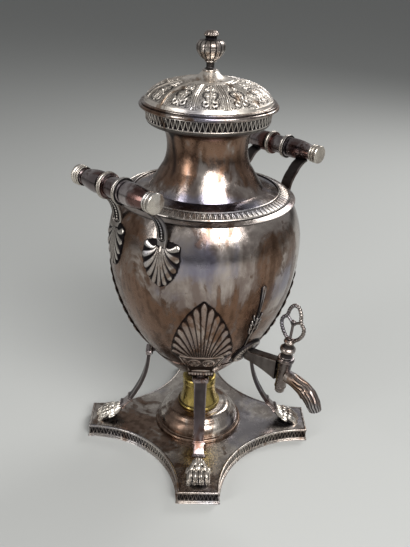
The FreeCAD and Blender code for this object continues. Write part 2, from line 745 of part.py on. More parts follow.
# Knob: a turned stem with a threaded stud, a fluted vase and a button, held by a nut inside the lid.
LID_TOP = f"{LID_BASE} + rim_rise + cone_top_rise"
stem = turned("knob_stem", ("0", "0"), [
    ("stud_radius", "0"),
    ("stud_radius", "stud_drop"),
    ("knob_collar", "stud_drop"),
    ("knob_collar", "stud_drop + knob_collar_rise"),
    ("knob_stem * 1.1", "stud_drop + knob_collar_rise * 2", "knob_stem", "stud_drop + knob_stem_rise / 2"),
    ("knob_stem * 1.1", "stud_drop + knob_stem_rise * 0.8", "knob_foot", "stud_drop + knob_stem_rise"),
    ("0", "stud_drop + knob_stem_rise"),
    (),
])
place(stem, z=f"{LID_TOP} - stud_drop")
FLUTE_RING_SHARES = [(0.43, 0.0), (0.74, 0.18), (0.94, 0.42), (1.0, 0.67), (0.95, 0.88), (0.84, 1.0)]


def fluted_ring(radius, level):
    """A closed star of crests and hollows at one level of the vase."""
    count = round(value("flute_count"))
    spots = []
    for step in range(2 * count):
        reach = radius if step % 2 == 0 else radius - value("flute_depth") * radius / value("knob_belly")
        turn_by = math.pi * step / count
        spots.append(FreeCAD.Vector(reach * math.cos(turn_by), reach * math.sin(turn_by), level))
    return Part.makePolygon(spots + spots[:1])


rings = [fluted_ring(value("knob_belly") * across, value("knob_rise") * up)
         for across, up in FLUTE_RING_SHARES]
vase = carved("knob_vase", Part.makeLoft(rings, True, True),
              FreeCAD.Placement(FreeCAD.Vector(0, 0, value(f"{LID_TOP} + knob_stem_rise")),
                                 FreeCAD.Rotation()))
button = turned("knob_button", ("0", "0"), [
    ("button_neck", "0"),
    ("button_neck * 0.85", "button_rise * 0.2", "button_neck", "button_rise * 0.42"),
    ("button_radius", "button_rise * 0.5"),
    ("button_radius * 0.8", "button_rise * 0.84", "button_radius * 0.2", "button_rise"),
    ("0", "button_rise"),
    (),
])
place(button, z=f"{LID_TOP} + knob_stem_rise + knob_rise")
knob_nut = new_body("knob_nut")
corners = [(f"nut_radius * {round(math.cos(math.radians(60 * k)), 4)}",
            f"nut_radius * {round(math.sin(math.radians(60 * k)), 4)}") for k in range(6)]
pad(knob_nut, "nut_block", "XY_Plane", [(corners[0], corners[1:] + [()])], "nut_thick")
doc.recompute()
nut_hole = knob_nut.newObject("PartDesign::SubtractiveCylinder", "nut_hole")
tie(nut_hole, "Radius", "stud_radius + stud_gap")
tie(nut_hole, "Height", "nut_thick * 2")
place(knob_nut, z=f"{LID_TOP} - lid_sheet - nut_thick")

# Hinge at the back of the collar: a fixed leaf with two knuckles, a lid knuckle between them and a pin.
HINGE_WIDTH = "(3 * knuckle_length + 2 * knuckle_gap)"
LEAF_INNER = "(collar_top_radius + solder_gap - hinge_reach)"


def knuckle_hole(body, length):
    """The pin's hole through a knuckle, along X."""
    doc.recompute()
    hole = body.newObject("PartDesign::SubtractiveCylinder", f"{body.Label}_pin_hole")
    tie(hole, "Radius", "pin_radius + pin_gap")
    tie(hole, "Height", length)
    hole.Placement = FreeCAD.Placement(FreeCAD.Vector(-value(length) / 2, 0, 0),
                                       FreeCAD.Rotation(FreeCAD.Vector(0, 1, 0), 90))


fixed_leaf = new_body("hinge_leaf")
pad(fixed_leaf, "leaf_plate", "YZ_Plane", [((LEAF_INNER, "-leaf_drop"), [
    (f"{LEAF_INNER} + leaf_thick", "-leaf_drop"),
    (f"{LEAF_INNER} + leaf_thick", "-knuckle_radius"),
    ("0", "-knuckle_radius"),
    ("knuckle_radius", "0", "0", "knuckle_radius"),
    ("-knuckle_radius * 0.8", "knuckle_radius * 0.6", "-knuckle_radius", "0"),
    ("-knuckle_radius", "-knuckle_radius * 0.4"),
    (LEAF_INNER, "-knuckle_radius * 0.4"),
    (),
])], HINGE_WIDTH, midplane=True)
doc.recompute()
pad(fixed_leaf, "knuckle_space", "YZ_Plane", [(("-knuckle_radius - knuckle_gap", "-knuckle_radius * 2"), [
    ("knuckle_radius * 2", "-knuckle_radius * 2"),
    ("knuckle_radius * 2", "knuckle_radius * 2"),
    ("-knuckle_radius - knuckle_gap", "knuckle_radius * 2"),
    (),
])], "knuckle_length + 2 * knuckle_gap", midplane=True, kind="PartDesign::Pocket")
knuckle_hole(fixed_leaf, HINGE_WIDTH)
place(fixed_leaf, y="hinge_reach", z="mouth_level")
lid_leaf = new_body("lid_hinge_leaf")
pad(lid_leaf, "lid_knuckle", "YZ_Plane", [(("0", "-knuckle_radius"), [
    ("knuckle_radius", "0", "0", "knuckle_radius"),
    ("rim_radius - hinge_reach - leaf_seat", "knuckle_radius"),
    ("rim_radius - hinge_reach - leaf_seat", "knuckle_radius * 0.6"),
    ("-knuckle_radius * 0.8", "knuckle_radius * 0.6"),
    ("-knuckle_radius", "0", "0", "-knuckle_radius"),
])], "knuckle_length", midplane=True)
knuckle_hole(lid_leaf, "knuckle_length")
place(lid_leaf, y="hinge_reach", z="mouth_level")
pin = turned("hinge_pin", ("0", "0"), [
    ("pin_radius", "0"),
    ("pin_radius", HINGE_WIDTH),
    ("0", HINGE_WIDTH),
    (),
])
place(pin, x=f"-{HINGE_WIDTH} / 2", y="hinge_reach", z="mouth_level",
      axis=FreeCAD.Vector(0, 1, 0), degrees=90)

# Handles. Each is a turned bar lying along Y, with a pair of rings at its middle and rings at its ends,
# carried by two flat straps that rise from the bowl.
BAR_SHARES = [
    ("bar_middle", 0.15),
    ("bar_ring", 0.178, "bar_middle", 0.206),
    ("bar_thick", 0.215),
    ("bar_ring", 0.243, "bar_thick", 0.27),
    ("bar_neck", 0.3, "bar_thick", 0.34),
    ("bar_thick * 0.94", 0.58, "bar_thin", 0.82),
    ("bar_end", 0.86, "bar_thin", 0.9),
    ("bar_end", 0.93),
    ("bar_end", 0.985),
    ("bar_end * 0.9", 1.0),
]


def bar_sides():
    """The bar's profile from one end to the other, as sides about its middle."""
    upper = []
    for step in BAR_SHARES:
        side = ()
        for radius, share in zip(step[::2], step[1::2]):
            side += (radius, f"bar_half * {round(1 + share, 4)}")
        upper.append(side)
    first = ("bar_middle", "bar_half")
    spots, back = backwards(first, upper)
    lower = [tuple(item if place_in % 2 == 0 else f"2 * bar_half - {item}"
                   for place_in, item in enumerate(side)) for side in [spots] + back]
    return lower, upper


lower_sides, upper_sides = bar_sides()
SIDES = {"left": 180.0, "right": 0.0}
for side_name, degrees in SIDES.items():
    sign = "-" if side_name == "left" else ""
    bar = turned(f"handle_bar_{side_name}", ("0", "0"),
                 lower_sides[:-1] + upper_sides + [("0", "2 * bar_half"), ()])
    place(bar, x=f"{sign}bar_reach", y="-bar_half", z="bar_level",
          axis=FreeCAD.Vector(1, 0, 0), degrees=-90)


def ribbon(stations, half):
    """A strip of even thickness: arcs through the stations, every second one a middle point. A station
    is (x, z, share of the thickness along x, and along z)."""
    outer = [(f"{x} + {half} * {nx}", f"{z} + {half} * {nz}") for x, z, nx, nz in stations]
    inner = [(f"{x} - {half} * {nx}", f"{z} - {half} * {nz}") for x, z, nx, nz in stations]
    sides = [outer[k] + outer[k + 1] for k in range(1, len(outer), 2)]
    sides.append(inner[-1])
    sides += [inner[k] + inner[k - 1] for k in range(len(inner) - 2, 0, -2)]
    sides.append(())
    return outer[0], sides


STRAP_FOOT = f"sqrt({high_side('strap_foot_level')}^2 - strap_offset^2)"
STRAP_TOP = "(bar_level - bar_thick)"
STRAP_STATIONS = [
    (f"({STRAP_FOOT} + strap_thick * 0.3)", "strap_foot_level", 0.98, 0.2),
    (f"({STRAP_FOOT} + strap_thick * 0.5)", "strap_knee_level", 0.97, -0.24),
    ("(bar_reach - bar_thick * 1.5)", f"({STRAP_TOP} - bar_thick * 0.9)", 0.7, -0.72),
    ("(bar_reach - bar_thick * 0.9)", f"({STRAP_TOP} - bar_thick * 0.3)", 0.5, -0.87),
    ("bar_reach", f"({STRAP_TOP} + bar_thick * 0.08)", 0.1, -0.99),
]
doc.recompute()
form_shape = form.Shape
for side_name, degrees in SIDES.items():
    for end_name in ("front", "back"):
        sign = "-" if (end_name == "front") == (side_name == "right") else ""
        rough = doc.addObject("PartDesign::Body", f"strap_{side_name}_{end_name}")
        pad(rough, f"strap_{side_name}_{end_name}_strip", "XZ_Plane",
            [ribbon(STRAP_STATIONS, "strap_thick / 2")],
            "strap_width", midplane=True)
        place(rough, y=f"{sign}strap_offset")
        doc.recompute()
        bar = doc.getObject(f"handle_bar_{side_name}")
        strap_shape = rough.Shape.copy()
        strap_shape.rotate(ORIGIN, UP, degrees)
        carved(f"handle_strap_{side_name}_{end_name}", strap_shape.cut(form_shape).cut(bar.Shape))

# Palmettes. Each is a thin plate with raised lobes that follows the side of the bowl: a prism drawn face on
# is cut by a curved sheet of the bowl's own profile.


def side_spot(level, out):
    """A point on the bowl's side at a level, moved out by a thickness, in the X-Z plane."""
    side = high_side if value(level) > value("belly_level") else low_side
    return FreeCAD.Vector(value(side(level, out)), 0, value(level))


def side_run(levels, out):
    """The edges up the bowl's side between levels."""
    edges = []
    for low, high in zip(levels, levels[1:]):
        middle = f"({low} + {high}) / 2"
        edges.append(Part.Arc(side_spot(low, out), side_spot(middle, out), side_spot(high, out)).toShape())
    return edges


def curved_sheet(levels, inner, outer, half_angle, foot=None):
    """A sheet that follows the bowl's side between levels, and drops straight from its lowest level to a
    foot if one is given, turned through an angle each way about Z."""
    out_edges = side_run(levels, outer)
    in_edges = side_run(levels, inner)
    low_out = side_spot(levels[0], outer)
    low_in = side_spot(levels[0], inner)
    end_edge = Part.makeLine(side_spot(levels[-1], outer), side_spot(levels[-1], inner))
    edges = out_edges + [end_edge] + in_edges
    if foot is None:
        edges.append(Part.makeLine(low_in, low_out))
    else:
        foot_out = FreeCAD.Vector(low_out.x, 0, value(foot))
        foot_in = FreeCAD.Vector(low_in.x, 0, value(foot))
        edges += [Part.makeLine(low_in, foot_in), Part.makeLine(foot_in, foot_out),
                  Part.makeLine(foot_out, low_out)]
    face = Part.Face(Part.Wire(Part.__sortEdges__(edges)))
    face.rotate(ORIGIN, UP, -half_angle)
    return face.revolve(ORIGIN, UP, 2 * half_angle)


def face_on(points):
    """A prism from an outline drawn face on, as (across, level) pairs."""
    spots = [FreeCAD.Vector(0, across, level) for across, level in points]
    return Part.Face(Part.makePolygon(spots + spots[:1])).extrude(
        FreeCAD.Vector(value("belly_radius + overrun"), 0, 0))


def fan_tips(half, up, spread, count):
    """Tips of lobes spaced evenly along an ellipse about the fan's root, from one side to the other."""
    steps = 400
    angles = [math.radians(spread) * (2 * k / steps - 1) for k in range(steps + 1)]
    spots = [(half * math.sin(t), up * math.cos(t)) for t in angles]
    lengths = [0.0]
    for one, two in zip(spots, spots[1:]):
        lengths.append(lengths[-1] + math.dist(one, two))
    tips = []
    for number in range(count):
        wanted = lengths[-1] * (number + 0.5) / count
        tips.append(spots[min(range(len(spots)), key=lambda k: abs(lengths[k] - wanted))])
    return tips, lengths[-1] / count


LOBE_SHARES = [(0.16, -0.1), (0.8, -0.4), (0.95, -0.27), (1.0, 0.0), (0.95, 0.27), (0.8, 0.4), (0.16, 0.1)]


def lobe_points(tip, pitch, root_level, downward):
    """The outline of one lobe from near the fan's root to its rounded tip."""
    reach = math.hypot(*tip)
    ahead = (tip[0] / reach, tip[1] / reach)
    flip = -1 if downward else 1
    points = []
    for along, aside in LOBE_SHARES:
        across = reach * along * ahead[0] + pitch * aside * ahead[1]
        upward = reach * along * ahead[1] - pitch * aside * ahead[0]
        points.append((across, root_level + flip * upward))
    return points


def palmette(levels, plate_points, tips, pitch, root_level, downward, foot=None):
    """A plate and its lobes as one solid, facing +X."""
    plate_outer = "solder_gap + fan_plate" if downward else "solder_gap + shell_plate"
    lobe_outer = "solder_gap + fan_relief" if downward else "solder_gap + shell_relief"
    half_angle = value("palmette_reach")
    plate_sheet = curved_sheet(levels, "solder_gap", plate_outer, half_angle, foot)
    lobe_sheet = curved_sheet(levels, "solder_gap", lobe_outer, half_angle, foot)
    lobes = [face_on(lobe_points(tip, pitch, root_level, downward)) for tip in tips]
    plate = plate_sheet.common(face_on(plate_points))
    raised = lobe_sheet.common(Part.makeCompound(lobes))
    return plate.fuse(raised)


fan_root = value("fan_level - fan_drop / 6")
tips, pitch = fan_tips(value("fan_half"), value("fan_drop * 5 / 6"), value("fan_spread"),
                       round(value("fan_lobes")))
fan_plate = [(across * 0.97, fan_root - up * 0.97) for across, up in tips]
fan_plate.append((value("strap_width / 3"), value("fan_level")))
fan_plate.append((-value("strap_width / 3"), value("fan_level")))
FAN_LEVELS = ["fan_level - fan_drop - solder_gap", "belly_level", "fan_level + solder_gap"]
fan = palmette(FAN_LEVELS, fan_plate, tips, pitch, fan_root, True)
FAN_TURN = math.degrees(math.asin(value(f"strap_offset / {high_side('fan_level - fan_drop / 3')}")))
for side_name, degrees in SIDES.items():
    for end_name, sign in (("front", -1), ("back", 1)):
        fan_turned = fan.copy()
        turn_by = sign * FAN_TURN if side_name == "right" else 180.0 - sign * FAN_TURN
        fan_turned.rotate(ORIGIN, UP, turn_by)
        strap = doc.getObject(f"handle_strap_{side_name}_{end_name}")
        carved(f"handle_palmette_{side_name}_{end_name}", fan_turned.cut(strap.Shape))

shell_root = value("shell_base_level")
shell_up = value("shell_top_level - shell_base_level")
tips, pitch = fan_tips(value("shell_half"), shell_up, value("shell_spread"),
                       round(value("shell_lobes")))
shell_plate = [(across * 0.97, shell_root + up * 0.97) for across, up in tips]
for across, level in (("shell_waist_half", "shell_waist_level + leg_width / 2"),
                      ("shell_foot_half", "leg_head_level + leg_width / 2"),
                      ("shell_foot_half", "leg_head_level")):
    shell_plate.append((value(across), value(level)))
    shell_plate.insert(0, (-value(across), value(level)))
shell = palmette(["shell_waist_level", "shell_top_level + solder_gap"], shell_plate, tips, pitch,
                 shell_root, False, "leg_head_level")

# Legs. Each is a flat strap bent outwards from under its palmette to a lion's paw on the plinth.


def cone_radius_at(level):
    """Radius of the bowl's cone at a level."""
    part = f"((({level}) - base_level) / (cone_level - base_level))"
    return (f"(base_radius + ({low_side('cone_level')} - base_radius) * {part}"
            f" + 8 * cone_swell * {part} * (1 - {part}))")


LEG_STATIONS = [
    ("leg_head_radius", "leg_head_level", 1.0, 0.0),
    ("leg_knee_radius", "leg_knee_level", 0.94, 0.34),
    ("leg_shin_radius", "leg_shin_level", 0.87, 0.49),
    ("leg_bend_radius", "leg_bend_level", 0.79, 0.61),
    ("leg_ankle_radius", "leg_ankle_level", 0.58, 0.81),
]


def band(station, length, thick):
    """A block across the strap at one station."""
    x, z, nx, nz = station
    return [(f"{x} + {length} / 2 * {a * nz} + {thick} / 2 * {b * nx}",
             f"{z} - {length} / 2 * {a * nx} + {thick} / 2 * {b * nz}")
             for a, b in ((1, 1), (1, -1), (-1, -1), (-1, 1))]


CORNERS = {"back_right": 45.0, "back_left": 135.0, "front_left": 225.0, "front_right": 315.0}
SHELL_INNER = low_side("shell_waist_level")
for corner, degrees in CORNERS.items():
    leg = new_body(f"leg_{corner}")
    pad(leg, f"leg_{corner}_strap", "XZ_Plane", [ribbon(LEG_STATIONS, "leg_thick / 2")],
        "leg_width", midplane=True)
    doc.recompute()
    for number, station in ((1, LEG_STATIONS[3]), (2, LEG_STATIONS[4])):
        spots = band(station, "leg_collar_length", "leg_collar_thick")
        pad(leg, f"leg_{corner}_collar_{number}", "XZ_Plane", [(spots[0], spots[1:] + [()])],
            "leg_collar", midplane=True)
    cornice = band(("leg_head_radius", "leg_head_level - cornice_rise / 2", 1.0, 0.0),
                   "cornice_rise", "cornice_thick")
    pad(leg, f"leg_{corner}_cornice", "XZ_Plane", [(cornice[0], cornice[1:] + [()])],
        "cornice_width", midplane=True)
    gusset = [
        ("leg_head_radius", "leg_head_level - cornice_rise / 2"),
        ("leg_head_radius", "leg_head_level"),
        (f"{SHELL_INNER} - solder_gap * 3", "leg_head_level"),
        (f"{SHELL_INNER} - solder_gap * 3", "cone_level - solder_gap * 3"),
        (f"{cone_radius_at('leg_head_level')} + solder_gap * 5", "leg_head_level"),
        (f"{cone_radius_at('leg_head_level')} + solder_gap * 5", "leg_head_level - cornice_rise / 2"),
    ]
    pad(leg, f"leg_{corner}_gusset", "XZ_Plane", [(gusset[0], gusset[1:] + [()])],
        "leg_width * 0.7", midplane=True)
    place(leg, axis=UP, degrees=degrees)
    shell_turned = shell.copy()
    shell_turned.rotate(ORIGIN, UP, degrees)
    carved(f"leg_palmette_{corner}", shell_turned)

# Paws: a widening foot with four toes, screwed to the plinth from below.
PAW_SHARES = [(0.0, 0.5, 1.0, 1.52), (0.32, 0.7, 0.46, 1.48), (0.7, 1.0, 0.0, 1.12), (1.0, 0.9, 0.0, 0.72)]
PAW_SECTION_SHARES = [(-1.0, 0.0), (-1.0, 0.55), (-0.6, 1.0), (0.6, 1.0), (1.0, 0.55), (1.0, 0.0)]
TOE_SHARES = [-0.74, -0.25, 0.25, 0.74]


def paw_shape():
    """The foot is lofted through four sections, and the toes are balls cut flat on the plinth."""
    floor = value("plinth_rise")
    heel = value("leg_ankle_radius + leg_collar_length / 2 + solder_gap")
    sections = []
    for along, wide, low, high in PAW_SHARES:
        x = heel + value("paw_length") * along
        bottom = floor + value("paw_rise") * low
        height = value("paw_rise") * (high - low)
        spots = [FreeCAD.Vector(x, value("paw_width") / 2 * wide * a, bottom + height * b)
                 for a, b in PAW_SECTION_SHARES]
        sections.append(Part.makePolygon(spots + spots[:1]))
    foot = Part.makeLoft(sections, True, True)
    toes = []
    for share in TOE_SHARES:
        centre = FreeCAD.Vector(heel + value("paw_length"), value("paw_width") / 2 * share,
                                floor + value("toe_radius") * 0.8)
        toes.append(Part.makeSphere(value("toe_radius"), centre))
    ground = Part.makeBox(value("paw_length * 2"), value("paw_width * 2"), value("toe_radius"),
                          FreeCAD.Vector(heel, -value("paw_width"), floor - value("toe_radius")))
    solid = foot.multiFuse(toes).cut(ground)
    hole = Part.makeCylinder(value("screw_radius + stud_gap"), value("screw_depth + stud_gap"),
                             FreeCAD.Vector(value("screw_reach"), 0, floor))
    return solid.cut(hole)


paw = paw_shape()
screws = []
for corner, degrees in CORNERS.items():
    paw_turned = paw.copy()
    paw_turned.rotate(ORIGIN, UP, degrees)
    carved(f"paw_{corner}", paw_turned)
    under = value("plinth_rise - plinth_sheet - solder_gap")
    head = Part.makeCylinder(value("screw_head"), value("screw_head_rise"),
                             FreeCAD.Vector(value("screw_reach"), 0, under - value("screw_head_rise")))
    shank = Part.makeCylinder(value("screw_radius"), value("plinth_sheet + solder_gap + screw_depth"),
                              FreeCAD.Vector(value("screw_reach"), 0, under))
    screw = head.fuse(shank)
    screw.rotate(ORIGIN, UP, degrees)
    screws.append(screw)
carved("paw_screws", Part.makeCompound(screws))

# Tap. A rosette on the bowl, a deep flat pipe to an upright barrel that leans out a little, a bent
# spout, and a tapered plug that turns in the barrel with its openwork key. The plug's cross hole
# lines up with the pipe.
TAP_LEAN = FreeCAD.Rotation(FreeCAD.Vector(0, 1, 0), value("barrel_lean"))
TAP_TURN = FreeCAD.Rotation(UP, -90).multiply(TAP_LEAN)
TAP = FreeCAD.Placement(FreeCAD.Vector(0, -value("barrel_reach"), value("barrel_level")), TAP_TURN)


def on_tap(item):
    """Puts a sub-part drawn about the barrel's own axis in its place."""
    item.Placement = TAP
    tie(item, "Placement.Base.y", "-barrel_reach")
    tie(item, "Placement.Base.z", "barrel_level")


def lathe(points):
    """A solid of straight sides turned about Z, from number pairs of radius and level."""
    spots = [FreeCAD.Vector(radius, 0, level) for radius, level in points]
    return Part.Face(Part.makePolygon(spots + spots[:1])).revolve(ORIGIN, UP, 360)


def rod(radius, first, last):
    """A round rod between two points."""
    run = last - first
    return Part.makeCylinder(radius, run.Length, first, run)


rose_profile = [
    (value("tail_radius + stud_gap"), -value("overrun")),
    (value("tap_rose_radius"), -value("overrun")),
    (value("tap_rose_radius"), value("tap_rose_proud - tap_rose_bead")),
    (value("tap_rose_radius - tap_rose_bead"), value("tap_rose_proud")),
    (value("tap_rose_radius - tap_rose_bead * 2"), value("tap_rose_proud")),
    (value("tap_rose_radius - tap_rose_bead * 3"), value("tap_rose_proud - tap_rose_bead")),
    (value("tail_radius * 1.5"), value("tap_rose_proud")),
    (value("tail_radius + stud_gap"), value("tap_rose_proud")),
]
rosette = lathe(rose_profile)
rosette.Placement = FreeCAD.Placement(ROOT, FreeCAD.Rotation(UP, TAIL))
carved("tap_rosette", rosette.cut(form_shape))

BARREL_SIDE = [
    ("barrel_foot_radius", "-barrel_foot_drop"),
    ("barrel_top_radius", "barrel_top_rise - barrel_ring_rise * 2"),
    ("barrel_ring_radius", "barrel_top_rise - barrel_ring_rise * 1.5"),
    ("barrel_ring_radius", "barrel_top_rise - barrel_ring_rise * 0.5"),
    ("barrel_top_radius", "barrel_top_rise"),
]
barrel = lathe([(0, -value("barrel_foot_drop"))] + [(value(r), value(z)) for r, z in BARREL_SIDE]
               + [(0, value("barrel_top_rise"))])
socket = lathe([
    (0, -value("barrel_foot_drop")),
    (value("plug_foot_radius + plug_gap"), -value("barrel_foot_drop")),
    (value("plug_top_radius + plug_gap"), value("barrel_top_rise")),
    (0, value("barrel_top_rise")),
])
barrel.Placement = TAP
socket.Placement = TAP
PIPE_SHARES = [(0.0, 0.43), (0.42, 0.6), (1.0, 1.0), (1.0, 0.0), (0.66, 0.15), (0.32, 0.24), (0.02, 0.25)]
pipe_start = -ROOT.y
pipe_length = value("barrel_reach - barrel_foot_radius") - pipe_start
pipe_foot = value("barrel_level - pipe_end_rise * 0.45")
pipe_spots = []
for along, up in PIPE_SHARES:
    pipe_spots.append(FreeCAD.Vector(-value("pipe_width / 2"), -pipe_start - pipe_length * along,
                                     pipe_foot + value("pipe_end_rise") * up))
pipe_ring = Part.makePolygon(pipe_spots + pipe_spots[:1])
pipe = Part.Face(pipe_ring).extrude(FreeCAD.Vector(value("pipe_width"), 0, 0))
pipe = pipe.cut(form_shape).cut(doc.getObject("tap_rosette").Shape)
nut_front = value("urn_sheet + solder_gap") + value("backnut_radius") ** 2 / (2 * pipe_start)
tail_end = along_tail("-overrun - backnut_thick")
tail_knee = along_tail("overrun + tap_rose_proud")
tap = pipe.multiFuse([barrel, rod(value("tail_radius"), tail_end, tail_knee)])
bore_knee = along_tail("overrun")
bore_end = FreeCAD.Vector(0, -value("barrel_reach"), value("barrel_level"))
tap = tap.cut(socket).cut(rod(value("plug_bore"), tail_end, bore_knee)).cut(
    rod(value("plug_bore"), bore_knee, bore_end))
carved("tap_body", tap)

backnut = lathe([
    (value("tail_radius + stud_gap"), 0),
    (value("backnut_radius"), 0),
    (value("backnut_radius"), value("backnut_thick")),
    (value("tail_radius + stud_gap"), value("backnut_thick")),
])
backnut.Placement = FreeCAD.Placement(ROOT - TAIL * nut_front, FreeCAD.Rotation(UP, -TAIL))
carved("tap_backnut", backnut)

# Each station of the spout: how far along and down it is, its share of the spout's radius, and its slope.
SPOUT_SHARES = [(0.12, 0.04, 1.0, 2.0), (0.43, 0.07, 1.08, 8.0),
                (0.78, 0.34, 1.1, 42.0), (1.0, 1.0, 0.86, 72.0)]


def spout_run(radius_share):
    """A bent tube through the stations, in the tap's own frame."""
    rings = []
    for along, down, share, slope in SPOUT_SHARES:
        slope = math.radians(slope)
        centre = FreeCAD.Vector(value("spout_reach") * along, 0, -value("spout_drop") * down)
        ahead = FreeCAD.Vector(math.cos(slope), 0, -math.sin(slope))
        rings.append(Part.Wire(Part.makeCircle(radius_share(share), centre, ahead)))
    return Part.makeLoft(rings, True, False)


spout = spout_run(lambda share: value("spout_width / 2") * share)
spout = spout.cut(spout_run(lambda share: value("plug_bore")))
spout.Placement = TAP
fitted = lathe([(0, -value("barrel_foot_drop"))]
               + [(value(f"{r} + solder_gap"), value(z)) for r, z in BARREL_SIDE]
                + [(0, value("barrel_top_rise"))])
fitted.Placement = TAP
inlet = rod(value("plug_bore"), ORIGIN, FreeCAD.Vector(value("spout_reach") * SPOUT_SHARES[0][0], 0, 0))
inlet.Placement = TAP
doc.getObject("tap_body").Shape = tap.cut(inlet)
carved("tap_spout", spout.cut(fitted))

plug = turned("tap_plug", ("0", "-barrel_foot_drop - plug_collar_gap - tap_nut_rise * 0.7"), [
    ("plug_foot_radius * 0.6", "-barrel_foot_drop - plug_collar_gap - tap_nut_rise * 0.7"),
    ("plug_foot_radius * 0.6", "-barrel_foot_drop"),
    ("plug_foot_radius", "-barrel_foot_drop"),
    ("plug_top_radius", "barrel_top_rise"),
    ("plug_top_radius", "barrel_top_rise + plug_collar_gap"),
    ("plug_collar_radius * 0.8", "barrel_top_rise + plug_collar_gap"),
    ("plug_collar_radius * 0.72", "barrel_top_rise + plug_collar_rise * 0.4",
     "plug_collar_radius * 0.92", "barrel_top_rise + plug_collar_rise * 0.8"),
    ("plug_collar_radius", "barrel_top_rise + plug_collar_rise",
     "plug_collar_radius * 0.92", "barrel_top_rise + plug_collar_rise * 1.2"),
    ("key_stem_radius * 1.05", "barrel_top_rise + key_foot_rise * 0.72",
     "key_stem_radius", "barrel_top_rise + key_foot_rise * 0.85"),
    ("key_ring_radius", "barrel_top_rise + key_foot_rise * 0.91",
     "key_stem_radius", "barrel_top_rise + key_foot_rise * 0.97"),
    ("key_stem_radius * 0.8", "barrel_top_rise + key_foot_rise"),
    ("0", "barrel_top_rise + key_foot_rise"),
    (),
])
doc.recompute()
cross = plug.newObject("PartDesign::SubtractiveCylinder", "plug_cross_hole")
tie(cross, "Radius", "plug_bore")
tie(cross, "Height", "plug_top_radius * 4")
cross.Placement = FreeCAD.Placement(FreeCAD.Vector(-value("plug_top_radius * 2"), 0, 0),
                                    FreeCAD.Rotation(FreeCAD.Vector(0, 1, 0), 90))
on_tap(plug)
tap_nut = turned("tap_nut", ("plug_foot_radius * 0.6 + stud_gap", "-barrel_foot_drop - plug_collar_gap"), [
    ("tap_nut_radius", "-barrel_foot_drop - plug_collar_gap"),
    ("tap_nut_radius", "-barrel_foot_drop - plug_collar_gap - tap_nut_rise * 0.6"),
    ("tap_nut_radius * 0.7", "-barrel_foot_drop - plug_collar_gap - tap_nut_rise * 0.93",
     "0", "-barrel_foot_drop - plug_collar_gap - tap_nut_rise"),
    ("0", "-barrel_foot_drop - plug_collar_gap - tap_nut_rise * 0.7 - stud_gap"),
    ("plug_foot_radius * 0.6 + stud_gap",
     "-barrel_foot_drop - plug_collar_gap - tap_nut_rise * 0.7 - stud_gap"),
    (),
])
on_tap(tap_nut)

KEY_OUTLINE_SHARES = [(0.38, 0.0), (0.92, 0.27), (0.98, 0.47), (0.64, 0.61), (0.5, 0.82), (0.2, 0.98)]
KEY_EYE_SHARES = [(0.14, 0.39), (0.66, 0.48), (0.79, 0.32), (0.36, 0.1), (0.16, 0.16)]
KEY_TOP_SHARES = [(0.0, 0.88), (0.26, 0.76), (0.36, 0.63), (0.0, 0.52), (-0.36, 0.63), (-0.26, 0.76)]


def mirror_image(pairs):
    """The same pairs on the other side of the key."""
    return [(-across, up) for across, up in reversed(pairs)]


def key_ring(pairs):
    """A smooth closed curve through share pairs on the key's face."""
    curve = Part.BSplineCurve()
    curve.interpolate([FreeCAD.Vector(value("key_half") * across, -value("key_thick / 2"),
                                      value("barrel_top_rise + key_foot_rise + solder_gap")
                                      + value("key_rise") * up) for across, up in pairs], PeriodicFlag=True)
    return Part.Wire(curve.toShape())


key_face = Part.Face(key_ring(KEY_OUTLINE_SHARES + mirror_image(KEY_OUTLINE_SHARES)))
key_solid = key_face.extrude(FreeCAD.Vector(0, value("key_thick"), 0))
for pairs in (KEY_EYE_SHARES, mirror_image(KEY_EYE_SHARES), KEY_TOP_SHARES):
    eye = Part.Face(key_ring(pairs)).extrude(FreeCAD.Vector(0, value("key_thick"), 0))
    key_solid = key_solid.cut(eye)
key_solid.Placement = TAP
doc.recompute()
carved("tap_key", key_solid.cut(plug.Shape))

# Narrow leaf ornament soldered to the bowl just left of the tap.
LEAF_SHARES = [(0.0, 0.0), (0.55, 0.05), (1.0, 0.22), (0.62, 0.46), (1.0, 0.62), (0.8, 0.8), (0.0, 1.0)]
leaf_rise = value("leaf_high_level - leaf_low_level")
leaf_points = []
for across, up in LEAF_SHARES + mirror_image(LEAF_SHARES)[1:-1]:
    leaf_points.append((value("leaf_half") * across, value("leaf_low_level") + leaf_rise * up))
leaf = curved_sheet(["leaf_low_level - solder_gap", "leaf_high_level + solder_gap"], "solder_gap",
                    "solder_gap + leaf_relief", value("tap_rose_radius")).common(face_on(leaf_points))
leaf.rotate(ORIGIN, UP, -90 - value("leaf_turn"))
carved("leaf_ornament", leaf)

doc.recompute()
for item in doc.Objects:
    wrong = [word for word in item.State if word in ("Invalid", "Error")]
    if wrong:
        raise RuntimeError(f"{item.Label} is in state {wrong}")
for node in NODES:
    if node.Shape.isNull() or not node.Shape.isValid() or not node.Shape.Solids:
        raise RuntimeError(f"{node.Label} has no sound shape")
for node in NODES:
    node.Shape.exportStep(f"parts/{node.Label}.step")
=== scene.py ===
import math

import bmesh
import bpy
import numpy as np
from mathutils import Matrix, Vector


